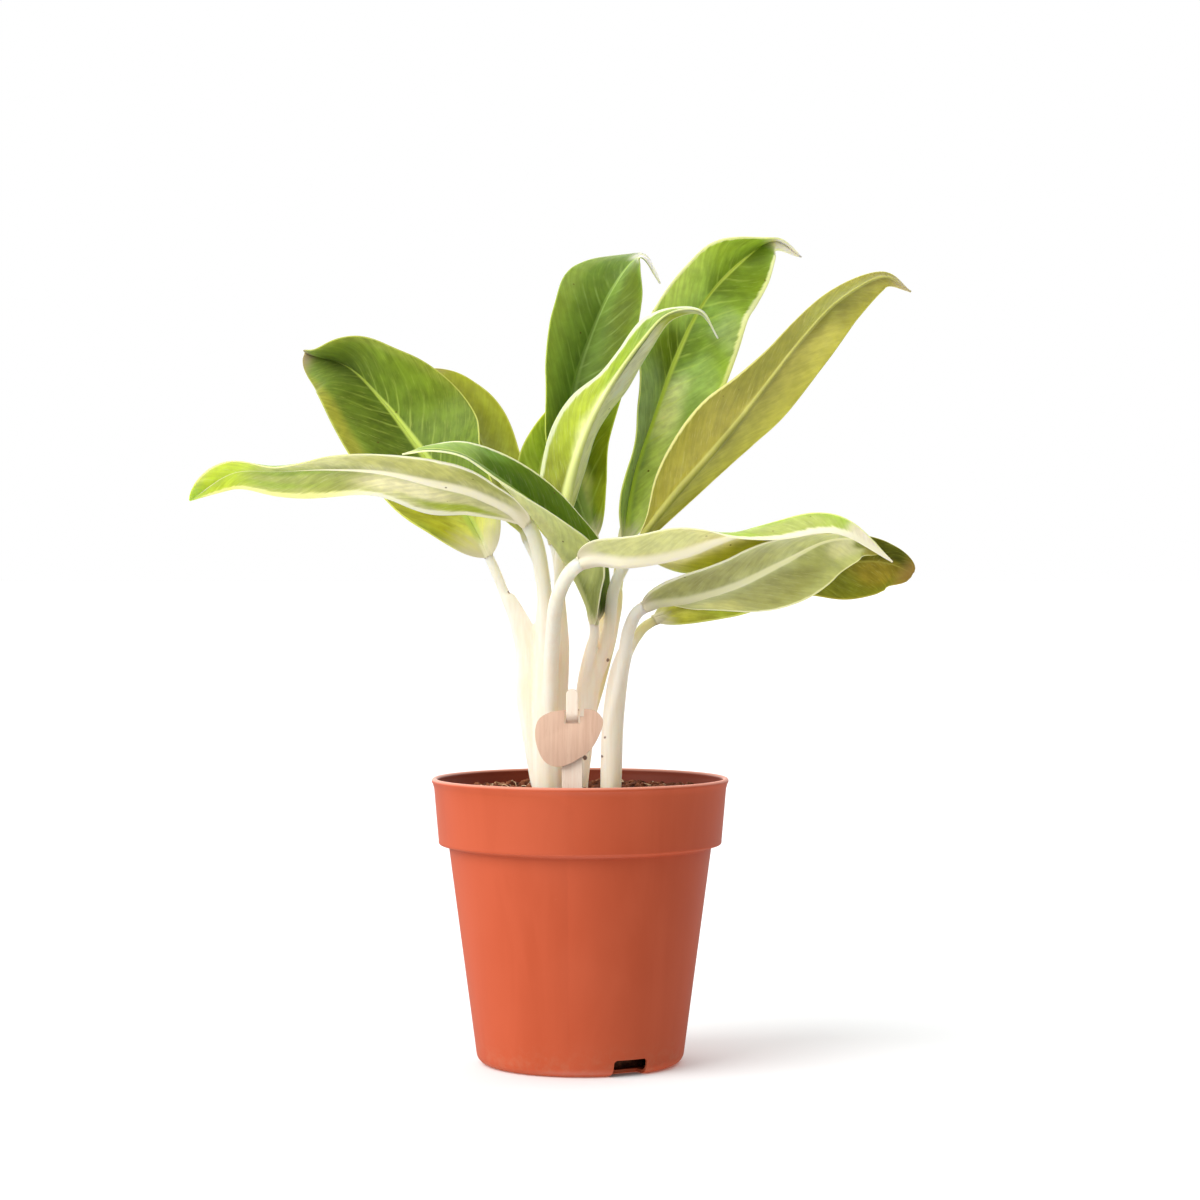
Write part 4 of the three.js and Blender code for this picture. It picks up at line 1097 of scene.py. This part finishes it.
class Nodes:
    """The nodes of a material or a world, made one call at a time. An input given as another node's socket is
    linked to it, and a colour of three numbers is a screen colour."""

    def __init__(self, owner):
        owner.use_nodes = True
        self.owner = owner
        self.tree = owner.node_tree

    def put(self, node, socket, value):
        target = node.inputs[socket]
        if isinstance(value, bpy.types.NodeSocket):
            self.tree.links.new(value, target)
        else:
            target.default_value = srgb(value) if target.type == "RGBA" and len(value) == 3 else value

    def node(self, kind, inputs, out=0, **settings):
        made = self.tree.nodes.new("ShaderNode" + kind)
        for key, value in settings.items():
            setattr(made, key, value)
        for socket, value in inputs.items():
            self.put(made, socket, value)
        return made.outputs[out]

    def math(self, operation, *values):
        return self.node("Math", dict(enumerate(values)), operation=operation)

    def times(self, first, second):
        return self.math("MULTIPLY", first, second)

    def ramp(self, value, low, high, start=0.0, end=1.0, kind="SMOOTHSTEP"):
        """Goes from start to end as the value goes from low to high."""
        inputs = {"Value": value, "From Min": low, "From Max": high, "To Min": start, "To Max": end}
        return self.node("MapRange", inputs, interpolation_type=kind)

    def split(self, vector):
        return self.node("SeparateXYZ", {0: vector}, slice(None))


class Shader(Nodes):
    """A material, whose colour is laid on layer by layer."""

    def __init__(self, name, gloss):
        super().__init__(bpy.data.materials.new(name))
        self.set(Specular_IOR_Level=gloss)

    def set(self, **surface):
        for socket, value in surface.items():
            self.put(self.tree.nodes["Principled BSDF"], socket.replace("_", " "), value)

    def mix(self, share, first, second):
        return self.node("MixRGB", {"Fac": share, "Color1": first, "Color2": second})

    def lay(self, share, colour):
        self.colour = self.mix(share, self.colour, colour)

    def place(self, stretch=EVEN):
        """The place on the object in millimetres, stretched by a scale for each axis."""
        where = self.node("TexCoord", {}, out=3)
        return self.node("Mapping", {"Vector": where, "Scale": tuple(1000 * scale for scale in stretch)})

    def noise(self, where, scale, detail, roughness=0.5, distortion=0.0):
        """Noise at a vector, or at the place on the object with the stretch that is given instead."""
        inputs = {"Scale": scale, "Detail": detail, "Roughness": roughness, "Distortion": distortion}
        inputs["Vector"] = self.place(where) if isinstance(where, tuple) else where
        return self.node("TexNoise", inputs)

    def attribute(self, name):
        return self.node("Attribute", {}, out=1, attribute_name=name)

    def mark(self, x, z, radius):
        """A small ragged mark on the front, at a place in mm as seen from the front."""
        across, deep, high = self.split(self.place())
        aside, above = self.math("SUBTRACT", across, x), self.math("SUBTRACT", high, z)
        far = self.hypotenuse(aside, above)
        ragged = self.math("MULTIPLY_ADD", self.noise(EVEN, 1.1, 2), 0.8, far)
        return self.times(self.ramp(ragged, radius + 0.6, radius + 0.2), self.ramp(deep, 6, 4))

    def hypotenuse(self, first, second):
        return self.math("SQRT", self.math("ADD", self.times(first, first), self.times(second, second)))

    def bump(self, height, distance_mm, strength):
        inputs = {"Height": height, "Distance": distance_mm * MM, "Strength": strength}
        self.set(Normal=self.node("Bump", inputs))

    def finish(self, roughness):
        self.set(Base_Color=self.colour, Roughness=roughness)
        return self.owner


def lay_veins(s, leaf, share, off, vein, upper):
    """Pale side veins, which fade towards the margins and the tip and are weaker on the underside."""
    wander = s.math("MULTIPLY_ADD", s.noise(EVEN, 0.07, 1), 0.5, vein)
    aside = s.math("ABSOLUTE", s.math("SUBTRACT", s.math("FRACT", wander), 0.5))
    seen = s.times(s.ramp(off, 17, 2, 0.15, 1), s.ramp(s.noise(EVEN, 0.09, 1), 0.38, 0.6, 0.2, 1))
    seen = s.times(seen, s.ramp(share, 0.9, 0.7))
    shown = s.times(s.times(s.ramp(aside, 0.36, 0.5), seen), s.ramp(upper, 0, 1, 0.5, 1))
    s.lay(s.times(shown, leaf["veins"]), leaf["rib"][0])


def lay_midrib(s, leaf, off, width, upper):
    """The midrib's line, as the rib on the upper side and as the keel on the underside."""
    inside = s.ramp(s.math("DIVIDE", off, s.math("MAXIMUM", width, 0.05)), 1.25, 0.55)
    for key, side in (("rib", upper), ("keel", s.math("SUBTRACT", 1.0, upper))):
        colour, strength, _ = leaf[key]
        s.lay(s.times(inside, s.times(side, strength)), colour)


def lay_ends(s, leaf, share, rim, margin_width, streak):
    """The ragged pale margin, the cream foot of the blade and its tip."""
    ragged = s.times(s.math("MULTIPLY_ADD", streak, 0.9, 0.55), margin_width)
    margin = s.mix(s.ramp(share, 0.4, 0.65), *leaf["margins"][:2])
    s.lay(s.ramp(s.math("DIVIDE", rim, ragged), 1.15, 0.6, 0, 0.92), margin)
    base = s.math("MULTIPLY_ADD", streak, 0.06, share)
    s.lay(s.ramp(base, leaf["base_fade"] + 0.06, 0.02, 0, 0.9), CREAM)
    s.lay(s.ramp(share, 0.93, 0.99, 0, 0.85), leaf["tip_colour"])


def leaf_material(leaf):
    """A blade's ground colours, mottled along its side veins, with its lines and a few specks over them."""
    s = Shader("leaf_" + leaf["name"], leaf.get("gloss", LEAF_GLOSS))
    s.set(Subsurface_Scale=0.002, Subsurface_Radius=(1, 1, 0.25))
    share, across, vein = s.split(s.attribute("span"))
    off, rim, _ = s.split(s.attribute("reach"))
    rib_width, margin_width, upper = s.split(s.attribute("marks"))
    half = s.math("SIGN", across)
    grain = s.noise(EVEN, 0.5, 4, 0.65)
    along = s.node("CombineXYZ", {0: s.times(vein, 2.2), 1: s.times(off, 0.13), 2: half})
    streak = s.noise(along, 1.3, 3, 0.55, 0.3)
    along = s.node("CombineXYZ", {0: s.times(vein, 8.0), 1: s.times(off, 0.22), 2: half})
    fine = s.noise(along, 1.4, 2)

    tone = s.math("ADD", s.times(streak, 0.5), s.times(s.noise(EVEN, 0.16, 3, 0.55), 0.5))
    shade = s.ramp(tone, 0.32, 0.68, 1 - 0.3 * leaf["mottle"], 1 + 0.28 * leaf["mottle"])
    s.colour = s.node("VectorMath", {0: s.attribute("tint"), "Scale": shade}, operation="SCALE")
    s.lay(s.ramp(fine, 0.56, 0.78, 0, 0.25 * leaf["mottle"]), leaf["margins"][0])
    lay_veins(s, leaf, share, off, vein, upper)
    lay_midrib(s, leaf, off, rib_width, upper)
    lay_ends(s, leaf, share, rim, margin_width, streak)

    cells = s.node("TexVoronoi", {"Vector": s.place(), "Scale": 0.16, "Randomness": 1.0}, feature="F1")
    speck = s.times(s.ramp(cells, 0.1, 0.05), s.ramp(s.noise(EVEN, 0.11, 0), 0.58, 0.62))
    s.lay(s.times(speck, 0.8), (84, 66, 26))
    s.set(Subsurface_Weight=s.ramp(share, 0.02, 0.09, 0, 0.65))
    s.bump(s.math("ADD", s.times(fine, 0.5), s.times(grain, 0.5)), 0.1, 0.4)
    return s.finish(s.ramp(grain, 0.3, 0.7, 0.38, 0.52))


def stem_material():
    """Near-white cream, with lengthwise streaks, a yellow tinge low down, yellow-green painted shade behind
    and a few brown marks.
    """
    s = Shader("stem_cream", 0.3)
    s.set(Subsurface_Weight=0.9, Subsurface_Scale=0.012, Subsurface_Radius=(1, 0.8, 0.6))
    across, deep, high = s.split(s.place())
    streak = s.noise((1, 1, 0.06), 0.9, 3, 0.6)
    cloud = s.noise(EVEN, 0.05, 2)
    s.colour = s.mix(s.ramp(streak, 0.35, 0.7), (255, 238, 222), (252, 231, 213))
    s.lay(s.ramp(cloud, 0.5, 0.7, 0, 0.2), (250, 232, 200))
    s.lay(s.ramp(high, 120, 107, 0, 0.45), (226, 216, 176))
    s.lay(s.ramp(high, 178, 205, 0, 0.35), (246, 240, 208))
    # Painted shade: the stalks behind and to the right, from 125 mm up, take a yellow-green tone for the
    # shade they lie in.
    behind = s.times(s.ramp(deep, 3, 8), s.ramp(across, 4, 8))
    s.lay(s.times(behind, s.ramp(high, 125, 150, 0, 0.75)), (208, 204, 132))
    for x, z, radius in STEM_MARKS:
        s.lay(s.times(s.mark(x, z, radius), 0.85), (92, 58, 36))
    s.bump(streak, 0.12, 0.35)
    return s.finish(s.ramp(cloud, 0.3, 0.7, 0.38, 0.5))


def pot_material():
    """Moulded plastic with faint flow marks, light scuffs, a little dust low down, painted shade inside and a
    painted highlight on the lip.
    """
    s = Shader("pot_terracotta_plastic", 0.25)
    across, deep, high = s.split(s.place())
    flow = s.noise((1, 1, 0.12), 0.06, 3, 0.55, 0.6)
    cloud = s.noise(EVEN, 0.02, 2)
    s.colour = s.mix(s.ramp(flow, 0.35, 0.65), (196, 87, 53), (190, 82, 48))
    s.lay(s.ramp(cloud, 0.35, 0.65, 0, 0.3), (204, 96, 62))
    dust = s.ramp(s.noise(EVEN, 0.3, 4, 0.7), 0.4, 0.7)
    s.lay(s.times(s.ramp(high, 16, 0, 0, 0.35), dust), (190, 120, 90))
    s.lay(s.ramp(s.noise((0.3, 0.3, 1.6), 0.8, 5, 0.7, 1.2), 0.68, 0.74, 0, 0.22), (222, 140, 112))
    # Painted shade: the inside of the wall above the soil is darkened, standing in for the shade that falls
    # inside the pot.
    lean = (BAND_TOP_RADIUS - BAND_BOTTOM_RADIUS) / BAND_HEIGHT
    outer = s.math("MULTIPLY_ADD", s.math("SUBTRACT", high, POT_HEIGHT - LIP_HEIGHT), lean, BAND_TOP_RADIUS)
    depth = s.math("SUBTRACT", outer, s.hypotenuse(across, deep))
    s.lay(s.times(s.times(s.ramp(depth, 0.4, 1.0), s.ramp(high, 100, 104)), 0.8), (104, 42, 26))
    # Painted highlight: a pale band round the top of the lip, where it catches the light.
    s.lay(s.ramp(high, POT_HEIGHT - 1.1, POT_HEIGHT - 0.2, 0, 0.6), (240, 168, 144))
    s.bump(s.noise(EVEN, 2.2, 2), 0.03, 0.35)
    return s.finish(s.ramp(cloud, 0.3, 0.7, 0.4, 0.52))


def soil_material(name, dark, light, scale):
    """Crumbly and matte, in mixed browns."""
    s = Shader(name, 0.15)
    s.colour = s.mix(s.ramp(s.noise(EVEN, scale, 5, 0.7), 0.35, 0.7), dark, light)
    s.lay(s.ramp(s.noise(EVEN, 1.6 * scale, 2), 0.66, 0.74, 0, 0.7), (170, 120, 80))
    s.bump(s.noise(EVEN, 2.4, 5, 0.7), 0.5, 0.8)
    return s.finish(0.95)


def fibre_material():
    s = Shader("fibre_coir", 0.5)
    s.colour = s.mix(s.ramp(s.noise(EVEN, 0.1, 2), 0.35, 0.65), (196, 150, 104), (232, 208, 172))
    s.bump(s.noise(EVEN, 3, 2), 0.05, 0.5)
    return s.finish(0.75)


def wood_material(name, light, dark):
    """Light bare wood: long fine grain, darker pores and side faces laid darker brown."""
    s = Shader(name, 0.25)
    grain = s.noise((1, 1, 0.05), 1.3, 4, 0.6, 0.3)
    s.colour = s.mix(s.ramp(grain, 0.35, 0.7), light, dark)
    s.lay(s.ramp(s.noise((1, 1, 0.08), 0.25, 2, 0.5, 1.0), 0.4, 0.65, 0, 0.2), (246, 218, 194))
    s.lay(s.ramp(s.noise((1.6, 1.6, 0.12), 2.4, 2), 0.62, 0.75, 0, 0.35), (200, 158, 126))
    # The side faces, which face neither front nor back, are laid darker brown.
    facing = s.math("ABSOLUTE", s.split(s.node("NewGeometry", {}, out=1))[1])
    s.lay(s.ramp(facing, 0.8, 0.4, 0, 0.75), (150, 96, 66))
    s.bump(grain, 0.08, 0.4)
    return s.finish(0.62)


# Stage

def build_stage():
    """A plain white floor. The camera sees it brighter than it lights the plant from below."""
    size = FLOOR_REACH
    corners = np.array([(-size, -size, 0), (size, -size, 0), (size, size, 0), (-size, size, 0)])
    floor = new_object("floor", [(corners, [(0, 1, 2, 3)])], smooth=False)
    floor.location.z = -FLOOR_GAP
    floor.visible_shadow = False
    s = Shader("floor_white", 0)
    s.colour = s.mix(s.node("LightPath", {}), (FLOOR_BOUNCE, FLOOR_BOUNCE, FLOOR_BOUNCE, 1), FLOOR_SEEN)
    floor.data.materials.append(s.finish(0.9))


def build_world():
    """White surroundings, brighter on the left and behind, that the camera sees as plain white."""
    world = bpy.data.worlds.new("studio")
    bpy.context.scene.world = world
    n = Nodes(world)
    across, deep, _ = n.split(n.node("TexCoord", {}))
    side = n.ramp(across, -0.8, 0.8, FILL_LEFT, FILL_RIGHT, "LINEAR")
    light = n.math("ADD", side, n.ramp(deep, 0, 1, 0, BACKDROP, "LINEAR"))
    background = n.tree.nodes["Background"]
    n.put(background, "Strength", n.node("Mix", {"Factor": n.node("LightPath", {}), "A": light, "B": 1.0}))
    n.put(background, "Color", (255, 255, 255))


def build_suns():
    """The key light, a weak light from behind and one from below, which stands for a white table's bounce."""
    for name, (strength, origin) in SUNS.items():
        sun = bpy.data.lights.new(name, "SUN")
        sun.energy = strength
        sun.angle = SUN_SOFTNESS
        show(name, sun).rotation_euler = Vector(origin).to_track_quat("Z", "Y").to_euler()


def build_camera():
    data = bpy.data.cameras.new("camera")
    data.lens = CAMERA_LENS
    data.sensor_width = CAMERA_SENSOR
    data.clip_start, data.clip_end = 0.01, 100
    camera = show("camera", data)
    camera.location = [v * MM for v in CAMERA_MM]
    camera.rotation_euler = (math.pi / 2 - CAMERA_PITCH, 0, 0)
    bpy.context.scene.camera = camera


def main():
    build_camera()
    build_world()
    build_suns()
    build_stage()
    bpy.context.scene.view_settings.view_transform = "Standard"
    build_pot(pot_material())
    build_soil(soil_material("soil_dark", (58, 30, 20), (110, 66, 44), 0.35))
    build_crumbs(soil_material("crumb_brown", (84, 42, 26), (150, 92, 62), 0.3))
    build_fibres(fibre_material())
    build_disc(wood_material("label_disc_wood", (226, 188, 162), (218, 178, 152)))
    # The stake is the disc's wood painted lighter: painted light, making up for the shade the disc casts on
    # it.
    build_stake(wood_material("label_stake_wood", (255, 238, 218), (250, 228, 206)))
    stem = stem_material()
    routes = {leaf["name"]: Route(leaf) for leaf in LEAVES}
    for name in SHOOTS:
        build_shoot(name, routes, stem)
    for seed, leaf in enumerate(LEAVES):
        Blade(leaf, routes[leaf["name"]], seed).build(leaf_material(leaf))


main()
